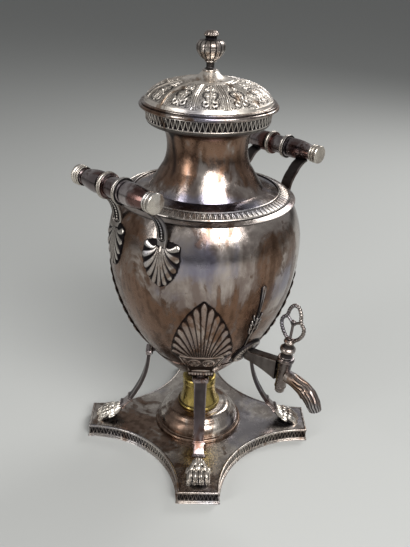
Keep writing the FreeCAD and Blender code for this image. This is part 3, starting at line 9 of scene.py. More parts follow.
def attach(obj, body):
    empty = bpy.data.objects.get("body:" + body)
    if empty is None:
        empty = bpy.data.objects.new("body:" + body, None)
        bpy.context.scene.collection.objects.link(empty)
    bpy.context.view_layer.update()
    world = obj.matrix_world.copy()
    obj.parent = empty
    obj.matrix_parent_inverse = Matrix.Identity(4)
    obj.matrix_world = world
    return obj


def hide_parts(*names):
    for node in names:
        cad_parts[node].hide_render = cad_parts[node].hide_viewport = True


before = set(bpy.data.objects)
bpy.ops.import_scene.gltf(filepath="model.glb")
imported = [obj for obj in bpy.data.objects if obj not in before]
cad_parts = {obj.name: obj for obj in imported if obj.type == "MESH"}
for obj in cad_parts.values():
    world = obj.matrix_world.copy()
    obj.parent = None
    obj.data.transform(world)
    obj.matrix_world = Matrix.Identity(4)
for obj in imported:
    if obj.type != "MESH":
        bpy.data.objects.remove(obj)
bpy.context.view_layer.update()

# Plinth. A square plate with hollow sides, pressed from sheet, with a thin lip, a set-back wall that carries
# a frieze of darts, and a rolled hem. It is silver plate, worn and tarnished purple and brown.


class Wire:
    """One output of a shader node. Sums, products and the like of wires add Math nodes."""

    def __init__(self, tree, socket=None):
        self.tree = tree
        self.socket = socket

    def add(self, kind, inputs=(), out=0, **settings):
        """A new node with its settings, then the values or links of its sockets; gives one output."""
        node = self.tree.nodes.new("ShaderNode" + kind)
        for name, setting in settings.items():
            setattr(node, name, setting)
        for key, given in dict(inputs).items():
            if isinstance(given, Wire):
                given.feed(node.inputs[key])
            else:
                node.inputs[key].default_value = given
        return Wire(self.tree, node.outputs[out])

    def maths(self, operation, first, second):
        """A Math node over two inputs."""
        return self.add("Math", {0: first, 1: second}, operation=operation)

    def __add__(self, other):
        return self.maths("ADD", self, other)

    def __mul__(self, other):
        return self.maths("MULTIPLY", self, other)

    def __sub__(self, other):
        return self.maths("SUBTRACT", self, other)

    def __rsub__(self, other):
        return self.maths("SUBTRACT", other, self)

    def __pow__(self, other):
        return self.maths("POWER", self, other)

    __radd__ = __add__

    def feed(self, socket):
        """Links this wire into an input."""
        self.tree.links.new(self.socket, socket)

    def between(self, low, high):
        """0 below one value, 1 above another, and smooth in between."""
        return self.add("MapRange", {"Value": self, "From Min": low, "From Max": high},
                        interpolation_type="SMOOTHSTEP")

    def mixed(self, first, second):
        """A colour that goes from the first to the second as this wire goes from 0 to 1."""
        pair = [(*tone, 1.0) if isinstance(tone, tuple) else tone for tone in (first, second)]
        return self.add("Mix", {0: self, 6: pair[0], 7: pair[1]}, out=2, data_type="RGBA")


def finish_named(name):
    """A new material, a start for its wires and the inputs of its shader."""
    material = bpy.data.materials.new(name)
    material.use_nodes = True
    return material, Wire(material.node_tree), material.node_tree.nodes["Principled BSDF"].inputs


def tarnished(name, light, shade, stain, cool, black=(0.012, 0.010, 0.011), stained=0.5, gloss=0.2, dents=0.3,
              metal=1.0):
    """Old plate: patches of light and shaded metal, brown and bluish bloom in larger patches, streaks that
    run down it, black where the relief attribute is low, which is tarnish in the hollows and painted shade
    where a piece sets it low for that, and fine scratches in its roughness and bump."""
    material, start, shader = finish_named(name)
    place = start.add("TexCoord", out=3)
    drawn = start.add("Mapping", {"Vector": place, "Scale": (1.0, 1.0, 0.4)})

    def cloud(vector, scale, detail, rough, warp=0.0):
        return start.add("TexNoise", {"Vector": vector, "Scale": scale, "Detail": detail, "Roughness": rough,
                                      "Distortion": warp})

    broad = cloud(drawn, 15.0, 6.0, 0.62, 0.9)
    other = cloud(drawn, 22.0, 5.0, 0.6, 1.7)
    spots = cloud(place, 120.0, 4.0, 0.65)
    fine = cloud(place, 900.0, 3.0, 0.7)
    runs = cloud(start.add("Mapping", {"Vector": place, "Scale": (1.0, 1.0, 0.07)}), 150.0, 2.0, 0.5)
    high = start.add("Attribute", attribute_name="relief", out=2)
    tint = start.add("Attribute", attribute_name="bleed", out=2)
    tone = (broad * 0.72 + spots * 0.16 + runs * 0.12).between(0.42, 0.57).mixed(shade, light)
    copper = other * 0.74 + spots * 0.18 + runs * 0.08 + tint * 0.2
    brown = copper.between(0.585 - 0.16 * stained, 0.70 - 0.16 * stained)
    deep = ((runs * 0.6 + spots * 0.4).between(0.47, 0.60) + tint.between(1.0, 1.8)) * brown
    rim = (brown * (1.0 - brown) * 4.0) ** 2.0
    tone = (brown * 0.9).mixed(tone, stain)
    blue = (cloud(drawn, 19.0, 3.0, 0.5, 0.5) * 0.8 + spots * 0.2 - tint * 0.22).between(0.50, 0.64)
    tone = (blue * 0.7 * (1.0 - brown * 0.6)).mixed(tone, cool)
    tone = (rim * 0.35 + deep * 0.6).mixed(tone, tuple(0.4 * shade_part for shade_part in stain))
    hollow = high.between(0.1, 0.75)
    tone = hollow.mixed(black, tone)
    tone.feed(shader["Base Color"])
    rough = (gloss + spots.between(0.35, 0.75) * 0.14 + brown * 0.06 + (1.0 - hollow) * 0.3
             + (fine - 0.5) * 0.12)
    rough.feed(shader["Roughness"])
    shader["Metallic"].default_value = metal
    bumped = (spots * 0.25 + fine * 0.06) * (0.0004 + 0.002 * dents)
    bumped = bumped + cloud(place, 34.0, 2.0, 0.5) * (0.001 * dents)
    start.add("Bump", {"Height": bumped, "Strength": 0.6, "Distance": 1.0}).feed(shader["Normal"])
    return material


plate = tarnished("worn_plate", (0.47, 0.41, 0.37), (0.22, 0.17, 0.15), (0.18, 0.097, 0.058),
                  (0.19, 0.19, 0.265), gloss=0.15)
base_plate = tarnished("dull_plate", (0.66, 0.60, 0.535), (0.37, 0.32, 0.285), (0.175, 0.105, 0.07),
                       (0.27, 0.255, 0.29), stained=0.42, gloss=0.2)
ornament = tarnished("chased_plate", (0.58, 0.53, 0.48), (0.33, 0.275, 0.24), (0.24, 0.135, 0.075),
                     (0.27, 0.27, 0.31), stained=0.3, gloss=0.22, dents=0.0)


def unit(value):
    """The value held between 0 and 1."""
    return np.clip(value, 0, 1)


def ridge(value, centre, width):
    """A smooth hump: 1 where the value is at the centre, and falling to both sides over the width."""
    return np.exp(-((value - centre) / width) ** 2)


def highest(*given):
    """The highest of several values at each point."""
    return np.maximum.reduce(np.broadcast_arrays(*given))


def circle(count):
    """Equal steps of a whole turn, in a row."""
    return np.linspace(0, math.tau, count, endpoint=False)[None]


def column(count):
    """Equal steps from 0 to 1, in a column."""
    return np.linspace(0, 1, count)[:, None]


def shown(name, data):
    """A new object in the scene."""
    made = bpy.data.objects.new(name, data)
    bpy.context.scene.collection.objects.link(made)
    return made


def coat(finish, *nodes):
    """The finish of CAD nodes that stay in view."""
    for node in nodes:
        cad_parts[node].data.materials.clear()
        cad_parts[node].data.materials.append(finish)


def piece(name, sheets, finish, body="urn", instead=(), sharp=38.0):
    """One object from sheets of points in millimetres. A sheet is a grid of points, which of its two
    directions close on themselves, and how high its relief stands at each point, 1 on the high places.
    Some pieces set it low instead to paint shade: on a side, an underside or an opening."""
    spots, heights, quads, count = [], [], [], 0
    for points, closed, relief in sheets:
        rows, columns = points.shape[:2]
        index = count + np.arange(rows * columns).reshape(rows, columns)
        if "r" in closed:
            index = np.vstack([index, index[:1]])
        if "c" in closed:
            index = np.hstack([index, index[:, :1]])
        corners = np.stack([index[:-1, :-1], index[:-1, 1:], index[1:, 1:], index[1:, :-1]], -1)
        quads.append(corners.reshape(-1, 4))
        spots.append(points.reshape(-1, 3))
        heights.append(np.broadcast_to(relief, (rows, columns)).ravel())
        count += rows * columns
    mesh = bpy.data.meshes.new(name)
    mesh.from_pydata(np.concatenate(spots) * 0.001, [], np.concatenate(quads))
    mesh.attributes.new("relief", "FLOAT", "POINT").data.foreach_set("value", np.concatenate(heights))
    work = bmesh.new()
    work.from_mesh(mesh)
    bmesh.ops.remove_doubles(work, verts=work.verts, dist=1e-6)
    work.to_mesh(mesh)
    work.free()
    mesh.shade_smooth()
    mesh.set_sharp_from_angle(angle=math.radians(sharp))
    made = shown(name, mesh)
    mesh.materials.append(finish)
    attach(made, body)
    if instead:
        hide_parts(*instead)
    return made


def bled(thing, rule):
    """How much copper shows through at each point of an object, as its own attribute, from a rule that is
    given the points in millimetres; below 0 is bluish. On the bowl one patch also paints shade and
    another paints a highlight."""
    points = np.empty(3 * len(thing.data.vertices), np.float32)
    thing.data.vertices.foreach_get("co", points)
    value = np.ascontiguousarray(rule(points.reshape(-1, 3) * 1000), dtype=np.float32)
    thing.data.attributes.new("bleed", "FLOAT", "POINT").data.foreach_set("value", value)


PLINTH_REACH = 116.9
PLINTH_FACE = 40.7
PLINTH_BAY = 95.0
PLINTH_TOP = 13.3
PLINTH_SHEET = 1.4
HEM_TOP = 2.8
DART_ROOM = 7.9
root2 = math.sqrt(2.0)
bay_across = (PLINTH_REACH - PLINTH_FACE / 2) / root2
bay_along = (PLINTH_REACH + PLINTH_FACE / 2) / root2
bay_centre = bay_along + math.sqrt(PLINTH_BAY ** 2 - bay_across ** 2)


def plinth_line(step):
    """The plinth's outline as points and outward normals, anticlockwise: four straight corner faces joined
    by four arcs that bend inwards. Where two meet, the normal is the mitre of both."""
    face_count = max(4, round(PLINTH_FACE / step))
    bay_half = math.asin(bay_across / PLINTH_BAY)
    bay_count = round(2 * bay_half * PLINTH_BAY / step)
    share = np.linspace(-1, 1, face_count + 1)[:, None]
    out = np.array([1.0, 1.0]) / root2
    side = np.array([-1.0, 1.0]) / root2
    face = out * PLINTH_REACH + side * share * PLINTH_FACE / 2
    face_normal = np.broadcast_to(out, face.shape).copy()
    turn = np.linspace(bay_half, -bay_half, bay_count + 1)
    bay_normal = np.stack([-np.sin(turn), np.cos(turn)], 1)
    bay = [0, bay_centre] - bay_normal * PLINTH_BAY
    mitre = (out + bay_normal[0]) / (1 + out @ bay_normal[0])
    face_normal[-1] = mitre
    bay_normal[0] = mitre
    bay_normal[-1] = mitre * [-1, 1]
    face_normal[0] = mitre[::-1]
    spots, normals = [], []
    for quarter in range(4):
        angle = quarter * math.pi / 2
        spin = np.array([[math.cos(angle), math.sin(angle)], [-math.sin(angle), math.cos(angle)]])
        spots += [face @ spin, bay[1:-1] @ spin]
        normals += [face_normal @ spin, bay_normal[1:-1] @ spin]
    return np.concatenate(spots), np.concatenate(normals)


def carried(spots, normals, section):
    """A section of (inwards, level) pairs carried round a line of points: each point of the line is moved
    inwards along its normal and lifted."""
    inwards, level = np.asarray(section, float).T
    flat = spots[None] - inwards[:, None, None] * normals[None]
    return np.dstack([flat, np.broadcast_to(level[:, None], flat.shape[:2])])


def eased(points, radius, count=4):
    """The same line with each inner corner rounded: a short parabola from a point before it to one after."""
    points = np.asarray(points, float)
    line = [points[:1]]
    share = column(count + 1)
    for before, corner, after in zip(points[:-2], points[1:-1], points[2:]):
        back, ahead = before - corner, after - corner
        back *= min(radius / np.linalg.norm(back), 0.49)
        ahead *= min(radius / np.linalg.norm(ahead), 0.49)
        line.append(corner + back * (1 - share) ** 2 + ahead * share ** 2)
    line.append(points[-1:])
    return np.concatenate(line)


edge_line, edge_normals = plinth_line(2.4)
lip_section = eased([(2.6, 13.3), (1.9, 13.36), (1.2, 13.66), (0.4, 13.5), (0.0, 12.9), (0.0, 12.0),
                     (0.3, 11.1), (1.8, 10.7)], 0.3, 2)
hem_section = eased([(1.8, HEM_TOP), (0.9, 2.9), (0.1, 2.5), (0.1, 1.9), (0.5, 1.6), (-0.2, 1.3), (-0.8, 0.8),
                     (-0.8, 0.3), (-0.3, 0.0), (3.2, 0.0), (3.2, 11.9), (4.0, 11.9)], 0.3, 2)
lip = carried(edge_line, edge_normals, lip_section)
hem = carried(edge_line, edge_normals, hem_section)
shares = np.array([0.0, 0.3, 0.5, 0.65, 0.8, 0.92, 1.0])[:, None, None]
top = lip[:1] * shares * [1, 1, 0] + [0, 0, PLINTH_TOP]
under = hem[-1:] * shares[::-1] * [1, 1, 0] + [0, 0, PLINTH_TOP - PLINTH_SHEET]
lip_high = np.clip(1.1 - np.maximum(lip_section[:, 0] - 0.5, 0) * 0.5, 0.2, 1)
hem_high = np.clip(1.1 - np.maximum(hem_section[:, 0] - 0.3, 0) * 0.9, 0.1, 1)
plinth = piece("plinth_plate", [(top, "c", 1.0), (np.concatenate([hem[-3:-1], under]), "c", 0.3)], base_plate,
               instead=["plinth"])
bled(plinth, lambda points: 0.9 * np.exp(-np.hypot(points[:, 0] + 62, points[:, 1] - 20) ** 2 / 2600)
     - 0.5 * np.exp(-np.hypot(points[:, 0] - 40, points[:, 1] + 70) ** 2 / 3600))

dart_line, dart_normals = plinth_line(0.34)
dart_run = np.linspace(0, 1, len(dart_line), endpoint=False)
dart_count = 4 * 51
dart_share = np.abs((dart_run * dart_count) % 1.0 * 2 - 1)[None]
dart_up = column(15)
dart_side = 1.02 - 0.98 * dart_up
dart_edge = unit(1.15 - np.abs(dart_side - dart_share) / 0.19)
dart_inside = (dart_share < dart_side) * unit(0.16 - dart_share * 0.2)
between = unit(1 - np.hypot((1 - dart_share) * 0.9, (dart_up - 0.8) * 3.0) / 0.3)
dart_high = highest(dart_edge, dart_inside, 0.55 * between, ((dart_up < 0.05) | (dart_up > 0.95)) * 0.5)
band = carried(dart_line, dart_normals, np.stack([np.full(15, 1.72), HEM_TOP + DART_ROOM * dart_up[:, 0]], 1))
band[..., :2] += dart_normals[None] * (0.85 * dart_high)[..., None]
lining = carried(dart_line, dart_normals, [(1.85, 10.7), (1.85, HEM_TOP)])
dart_high = np.concatenate([dart_high, np.zeros((2, len(dart_line)))])
piece("plinth_darts", [(np.concatenate([band, lining]), "rc", dart_high)], ornament,
      instead=["plinth_frieze"])
piece("plinth_edges", [(lip, "c", lip_high[:, None]), (hem[:-2], "c", hem_high[:-2, None])], ornament,
      sharp=70)

# Burner dish. Spun from sheet: a rounded foot ring, a stepped dome and a flat top for the lamp, soldered on
# the plinth. The plate has worn through to copper at the foot ring.


def arc(first, middle, last, count=12):
    """Points along the circle through three points, from the first to the last."""
    (ax, ay), (bx, by), (cx, cy) = first, middle, last
    a, b, c = (x * x + y * y for x, y in (first, middle, last))
    det = 2 * (ax * (by - cy) + bx * (cy - ay) + cx * (ay - by))
    ux = (a * (by - cy) + b * (cy - ay) + c * (ay - by)) / det
    uy = (a * (cx - bx) + b * (ax - cx) + c * (bx - ax)) / det
    radius = math.hypot(ax - ux, ay - uy)
    begin, half, finish = (math.atan2(y - uy, x - ux) for x, y in (first, middle, last))
    half = (half - begin) % math.tau
    sweep = (finish - begin) % math.tau
    if half > sweep:
        sweep -= math.tau
    turn = begin + sweep * np.linspace(0, 1, count + 1)
    return np.stack([ux + radius * np.cos(turn), uy + radius * np.sin(turn)], 1)


def outline(start, *sides, count=12):
    """A line of (radius, level) points. A side is (x, y), or (mid x, mid y, x, y) for an arc."""
    line = [np.array([start], float)]
    here = start
    for side in sides:
        line.append(arc(here, side[:2], side[2:], count)[1:] if len(side) == 4 else np.array([side], float))
        here = side[-2:]
    return np.concatenate(line)


def about_z(radius, angle, level):
    """Points at some radii, angles and levels."""
    return np.dstack(np.broadcast_arrays(radius * np.cos(angle), radius * np.sin(angle), level))


def spun(line, columns, wave=None):
    """A line of (radius, level) points turned about Z; wave gives a share of the radius at each angle."""
    angle = circle(columns)
    return about_z(line[:, :1] * (1 if wave is None else wave(angle, line)), angle, line[:, 1:])


def turned(line, high, level=0.0, columns=192, wave=None):
    """A sheet spun from a line lifted by a level; high is one value, or one for each point of the line or
    of the sheet."""
    return spun(line + [0, level], columns, wave), "c", high[:, None] if np.ndim(high) == 1 else high


def banded(level, dark, *bands):
    """1 along a line, and a darker value where its level lies in a band."""
    return np.where(np.any([(level > low) & (level < high) for low, high in bands], 0), dark, 1.0)


DISH = PLINTH_TOP
dish_line = outline((0.0, 20.5), (26.2, 20.5), (34.0, 16.4), (39.5, 12.0, 41.0, 1.2), (41.4, 0.02),
                    (45.6, 0.02), (45.9, 0.8), (45.4, 3.2, 43.0, 3.7), (42.2, 4.4), (39.9, 12.6, 35.4, 16.9),
                    (35.0, 17.4), (32.2, 20.6, 27.0, 21.5), (26.4, 21.75), (0.0, 21.7))
dish_high = unit(0.35 + 0.9 * np.minimum(np.abs(dish_line[:, 1] - 4.2) / 1.6, 1))
dish = piece("dish", [turned(dish_line, dish_high, DISH)], base_plate, instead=["burner_dish"])
bled(dish, lambda points: np.interp(points[:, 2], [DISH + 4.0, DISH + 5.0], [0.9, 0.45])
     + 0.4 * np.sin(np.arctan2(points[:, 1], points[:, 0]) * 2.0 + 1.0))

# Spirit lamp. A small brass tank with a rolled foot, a wick tube soldered in its top and a loose snuffer cap,
# all turned or spun from yellow brass that has dulled to olive. It rides on its own body.
brass = tarnished("dull_brass", (0.62, 0.46, 0.14), (0.33, 0.25, 0.08), (0.22, 0.12, 0.04),
                  (0.30, 0.30, 0.16), stained=0.35, gloss=0.22, dents=0.1)
cotton, strand, cotton_shader = finish_named("wick_cotton")
strand_place = strand.add("TexCoord", out=3)
weave = strand.add("TexWave", {"Vector": strand_place, "Scale": 420.0, "Distortion": 2.0}, out=1,
                   bands_direction="DIAGONAL")
scorch = strand.add("SeparateXYZ", {0: strand_place}, out=2).between(0.066, 0.0635)
cotton_tone = scorch.mixed((0.03, 0.025, 0.02), weave.mixed((0.36, 0.30, 0.20), (0.72, 0.66, 0.52)))
cotton_tone.feed(cotton_shader["Base Color"])
strand.add("Bump", {"Height": weave * 0.0004, "Distance": 1.0}).feed(cotton_shader["Normal"])
cotton_shader["Roughness"].default_value = 0.9
LAMP = 35.3
tank_line = outline((0.0, 0.6), (20.0, 0.0), (21.6, 0.1), (22.3, 1.8, 21.6, 3.4), (20.5, 3.7), (20.3, 4.4),
                    (17.9, 13.5, 17.1, 24.6), (16.8, 24.95), (4.2, 24.98), (4.1, 24.3), (0.0, 24.3))
tank_high = banded(tank_line[:, 1], 0.35, (3.3, 4.5))
piece("tank", [turned(tank_line, tank_high, LAMP, 96)], brass, body="lamp", instead=["lamp_tank"])
cap_line = outline((0.0, 25.9), (16.6, 25.9), (16.7, 25.05), (17.35, 25.0), (17.6, 25.5), (17.6, 27.0),
                   (17.35, 27.35), (17.35, 27.9), (17.6, 28.2), (17.6, 31.1), (16.9, 33.2, 14.6, 33.7),
                   (7.5, 33.8), (6.4, 33.55, 5.6, 33.8), (0.0, 33.8))
cap_high = banded(cap_line[:, 1], 0.45, (27.2, 28.1))
piece("snuffer", [turned(cap_line, cap_high, LAMP, 96)], brass, body="lamp", instead=["lamp_cap"])
coat(brass, "lamp_wick_tube")
coat(cotton, "lamp_wick")

# Urn bowl. Spun from one sheet in a long egg shape over a shallow cone, and closed at the seam under the
# shoulder. Where the castings are soldered on, black tarnish has gathered round them.
BELLY, BELLY_LEVEL, LOW_CURVE, HIGH_CURVE = 91.3, 228.0, 185.0, 78.7
BOWL_SHEET = 1.4
FAN_TURN = 19.8
# The bearing of each handle and the side on which a strap stands from it, and the bearing of each leg.
STRAPS = {"left_front": (180, 1), "left_back": (180, -1), "right_front": (0, -1), "right_back": (0, 1)}
CORNERS = {"back_right": 45, "back_left": 135, "front_left": 225, "front_right": 315}


def bowl_radius(level):
    """Radius of the bowl's side: a long arc below the widest level and a short one above it."""
    curve = np.where(level < BELLY_LEVEL, LOW_CURVE, HIGH_CURVE)
    return BELLY - curve + np.sqrt(curve ** 2 - (BELLY_LEVEL - level) ** 2)


def bowl_slope(level):
    """How far the bowl's side leans at a level: the angle of its normal under the horizon."""
    curve = np.where(level < BELLY_LEVEL, LOW_CURVE, HIGH_CURVE)
    return np.arcsin((BELLY_LEVEL - level) / curve)


cone_line = outline((0.0, 73.5), (12.4, 73.5), (13.0, 73.9), (32.5, 91.0, 50.3, 110.6), count=16)
side_levels = np.linspace(111.0, 270.4, 150)
side_line = np.stack([bowl_radius(side_levels), side_levels], 1)
bowl_line = np.concatenate([cone_line, side_line])
bowl_inside = np.concatenate([bowl_line[:0:-2], bowl_line[:1]]) - [BOWL_SHEET, 0.0]
bowl_inside[bowl_inside[:, 1] < 112, 1] += 1.5
bowl_inside[:, 0] = np.maximum(bowl_inside[:, 0], 0)
bowl_sheet = spun(np.concatenate([bowl_line, bowl_inside]), 384)
bowl_angle = np.arctan2(bowl_sheet[..., 1], bowl_sheet[..., 0])
bowl_bearing = np.degrees(bowl_angle) % 360
bowl_level = bowl_sheet[..., 2]


def soot(centre, levels, halves, margin):
    """1 inside an outline on the bowl given by half widths at some levels, and 0 past a narrow margin."""
    across = np.abs((bowl_angle - math.radians(centre) + math.pi) % math.tau - math.pi)
    across = np.sin(np.minimum(across, 1.5)) * bowl_radius(np.clip(bowl_level, 111, 270))
    half = np.interp(bowl_level, levels, halves, left=-9, right=-9)
    return unit((half + margin - across) / (0.6 * margin))


def bleeding(thing, patches):
    """Soft oval patches of copper on an object, each by its share, bearing, half width in degrees, level and
    half height. On the bowl, some patches also paint shade and one paints a highlight."""

    def rule(points):
        bearing = np.degrees(np.arctan2(points[:, 1], points[:, 0]))
        total = 0
        for share, centre, wide, middle, tall in patches:
            across = (bearing - centre + 180) % 360 - 180
            total = total + share * np.exp(-(across / wide) ** 2 - ((points[:, 2] - middle) / tall) ** 2)
        return total

    bled(thing, rule)


shell_soot = ([98, 104, 118, 130, 141, 151, 161.5, 171.5, 181, 190, 197.5, 204.5],
              [12.6, 12.8, 18, 26, 27.5, 26.6, 24.6, 21.6, 17.8, 13, 7.2, 0], 2.0)
fan_soot = ([213.6, 216.6, 222.6, 230.4, 240.6, 252, 256], [0, 6.2, 11.6, 15.6, 18.0, 16.6, 9.0], 1.8)
rose_soot = ([109.5, 115, 127, 139, 144.5], [0, 12.5, 17.0, 12.5, 0], 1.8)
sooted = [soot(corner, *shell_soot) for corner in CORNERS.values()]
sooted += [soot(turn + sign * FAN_TURN, *fan_soot) for turn, sign in STRAPS.values()]
# Besides the black round the castings, the bowl is darkened down its left side about bearing 138: painted
# shade.
bowl_soot_and_shade = highest(*sooted, soot(270, *rose_soot), unit((bowl_level - 269.6) / 0.8),
                    0.62 * ridge(bowl_bearing, 138, 24))
bowl = piece("bowl", [(bowl_sheet, "c", 1 - 0.85 * bowl_soot_and_shade)], plate, instead=["urn_bowl"])
# The patch at bearing 150 darkens the bowl's left side, partly copper stain and partly painted shade; the
# bluish patch of -0.75 at bearing 222 and level 240 is a painted highlight on the upper front.
bleeding(bowl, [(0.5, 165, 40, 252, 22), (0.6, 0, 999, 140, 40), (0.5, 268, 28, 236, 26),
                (0.9, 150, 34, 205, 60), (0.7, 186, 14, 186, 26), (0.7, 248, 20, 184, 26),
                (-0.75, 222, 32, 240, 19), (-0.35, 205, 26, 206, 9)])

# Neck and shoulder. Spun in one sheet, seamed to the bowl, and flared out under the collar. The frieze is a
# thin chased band of leaves let down over the shoulder, with a plain fillet at each edge.
shoulder_line = outline((83.3, 270.4), (68.4, 276.2, 53.0, 279.4), (48.0, 287.6, 40.3, 300.0),
                        (36.8, 317.0, 39.4, 331.5), (43.5, 336.2, 53.0, 338.0), count=24)
neck_line = np.concatenate([shoulder_line, [(53.2, 339.2)], shoulder_line[::-1] - [1.3, 0.6]])
neck_sheet = spun(neck_line, 256)
neck_high = np.clip((neck_line[:, 1] - 270.24) / 1.2, 0.25, 1)
neck_bearing = np.degrees(np.arctan2(neck_sheet[..., 1], neck_sheet[..., 0])) % 360
neck_level = neck_sheet[..., 2]
# Painted shade: a dark band under the collar's flare, and dark wavy streaks down the left side of the neck.
neck_painted_shade = 0.55 * ridge(neck_level, 334.5, 4.0)
neck_painted_shade += 0.35 * ridge(neck_bearing, 190 + 3 * np.sin(neck_level / 6), 4) * (neck_level > 292)
neck_painted_shade += 0.72 * ridge(neck_bearing, 174 + 4 * np.sin(neck_level / 9), 7) * unit((neck_level - 286) / 14)
neck_high = neck_high[:, None] * (1 - np.clip(neck_painted_shade, 0, 0.8))
neck = piece("neck_and_shoulder", [(neck_sheet, "c", neck_high)], plate, instead=["urn_shoulder", "urn_neck"])
bleeding(neck, [(1.1, 156, 34, 314, 40), (0.8, 189, 9, 318, 30), (0.9, 206, 7, 318, 24),
                (0.7, 222, 16, 326, 14), (1.0, 272, 36, 314, 26), (0.5, 290, 8, 316, 20),
                (-0.6, 222, 70, 280, 7)])

LEAVES = 94


def leaf_wave(turns, up):
    """A row of pointed leaves with raised rims and midribs; turns counts leaves, up runs from 0 to 1."""
    aside = np.abs((turns % 1.0) * 2 - 1)
    width = unit(1 - up ** 1.6) ** 0.6 * 0.94
    inside = width - aside
    rim_part = ridge(inside, 0.14, 0.12)
    rib = ridge(aside, 0, 0.12) * (up < 0.75)
    gap = np.exp(-(((1 - aside) / 0.2) ** 2 + ((up - 0.8) / 0.2) ** 2))
    body = 0.3 + 0.26 * unit(inside / 0.1)
    return unit(highest(rim_part, 0.75 * rib * (inside > 0), 0.8 * gap, body))


def shoulder_level(radius):
    """Level of the shoulder's outside at a radius, read off its line."""
    return np.interp(-radius, -shoulder_line[:, 0], shoulder_line[:, 1])


frieze_up = column(25)
frieze_turns = np.linspace(0, LEAVES, LEAVES * 18, endpoint=False)[None]
frieze_high = leaf_wave(frieze_turns, unit((frieze_up - 0.14) / 0.7))
edge_bead = ridge(frieze_up, 0.06, 0.05) + ridge(frieze_up, 0.94, 0.05)
at_edge = (frieze_up < 0.13) | (frieze_up > 0.87)
frieze_high = np.where(at_edge, edge_bead, frieze_high)
frieze_radius = 78.4 - 11.2 * frieze_up
frieze_seat = shoulder_level(frieze_radius)
frieze_sheet = about_z(frieze_radius, frieze_turns * math.tau / LEAVES,
                       frieze_seat + 0.45 + np.where(at_edge, 1.1, 0.75) * frieze_high)
frieze_under = frieze_sheet[[-1, 0]]
frieze_under[..., 2] = frieze_seat[[-1, 0]] + 0.05
piece("shoulder_leaves", [(np.concatenate([frieze_sheet, frieze_under]), "rc",
                           np.concatenate([frieze_high, 0 * frieze_high[:2]]))],
      ornament, instead=["shoulder_frieze"])

# Collar. An upright band soldered round the flare, chased with a row of tall leaf tips between two fillets,
# with the mouth ring let into its top.


def evenly(line, count):
    """The same line resampled to equal steps, and its length."""
    reach = np.concatenate([[0.0], np.cumsum(np.linalg.norm(np.diff(line, axis=0), axis=1))])
    steps = np.linspace(0, reach[-1], count)
    return np.stack([np.interp(steps, reach, axis) for axis in line.T], 1), reach[-1]


TIPS = 74
collar_up = column(49)
collar_turns = np.linspace(0, TIPS, TIPS * 20, endpoint=False)[None]
tip_up = unit((collar_up - 0.37) / 0.53)
tip_aside = np.abs((collar_turns % 1.0) * 2 - 1)
tip_edge = ridge(tip_aside, 0.92 * tip_up ** 0.8, 0.15)
tip_rib = 0.5 * ridge(tip_aside, 0, 0.12) * (tip_up > 0.3)
tip_high = np.maximum(tip_edge, np.where(tip_aside < 0.9 * tip_up ** 0.8, tip_rib, 0.06))
collar_bead = ridge(collar_up, 0.325, 0.035) + ridge(collar_up, 0.945, 0.035)
collar_high = np.where((collar_up < 0.37) | (collar_up > 0.9), collar_bead, tip_high)
collar_high = np.maximum(collar_high, np.clip((0.28 - collar_up) / 0.04, 0, 0.3))
collar_base, _ = evenly(outline((53.1, 338.0), (54.9, 339.6, 55.5, 343.2), (56.6, 351.5), count=20), 49)
collar_radius = collar_base[:, :1] + 0.45 * unit(collar_high) * unit(collar_up * 6)
collar_sheet = about_z(collar_radius, collar_turns * math.tau / TIPS, collar_base[:, 1:])
collar_inside = [collar_sheet[:1] * [share, share, 0] + [0, 0, level]
                 for share, level in ((1.045, 351.5), (1.02, 343.6), (1.0, 339.4))]
collar_high = np.concatenate([collar_high * np.ones(collar_radius.shape), np.ones((3, TIPS * 20))])
piece("collar_tips", [(np.concatenate([collar_sheet] + collar_inside), "rc", collar_high)], ornament,
      instead=["collar"])
ring_line = eased([(51.5, 346.0), (52.7, 345.5), (52.7, 350.3), (55.2, 350.3), (55.2, 351.5), (51.5, 351.5),
                   (51.5, 346.0)], 0.35)
piece("mouth_seat", [turned(ring_line, 0.9)], plate, instead=["mouth_ring"])

# Lid. A rolled rim, a low dome chased in twelve panels, and a plain cone under the knob. Each panel has a
# stippled ground, a double rib down each side and a small flower over two scrolls.
LID = 351.8
lid_ground = tarnished("stippled_plate", (0.80, 0.73, 0.65), (0.54, 0.47, 0.40), (0.33, 0.20, 0.11),
                       (0.34, 0.33, 0.37), stained=0.3, gloss=0.3, dents=0.0)
grain = Wire(lid_ground.node_tree)
bump_height = lid_ground.node_tree.nodes["Bump"].inputs["Height"]
smooth_height = Wire(lid_ground.node_tree, bump_height.links[0].from_socket)
dots = grain.add("TexVoronoi", {"Vector": grain.add("TexCoord", out=3), "Scale": 1150.0}).between(0.1, 0.6)
raised = grain.add("Attribute", attribute_name="relief", out=2).between(0.45, 0.7)
(smooth_height + dots * (1.0 - raised) * 0.00028).feed(bump_height)

rim_line = outline((54.8, 0.0), (60.2, 0.0), (62.0, 1.9, 60.2, 3.6), (59.8, 3.75), (59.6, 4.1), (59.8, 4.4),
                   (60.3, 4.85, 59.8, 5.35), (59.2, 5.6), (54.8, 5.6), (54.8, 0.0))
rolled = piece("lid_rolled_rim", [turned(rim_line, banded(rim_line[:, 1], 0.25, (3.65, 4.45)), LID, 256)],
               plate, body="lid", instead=["lid_rim"])
bleeding(rolled, [(1.0, 163, 22, LID + 2, 7), (0.4, 205, 12, LID + 1, 3), (-0.5, 235, 20, LID + 2, 8),
                  (0.6, 298, 14, LID + 2, 6)])

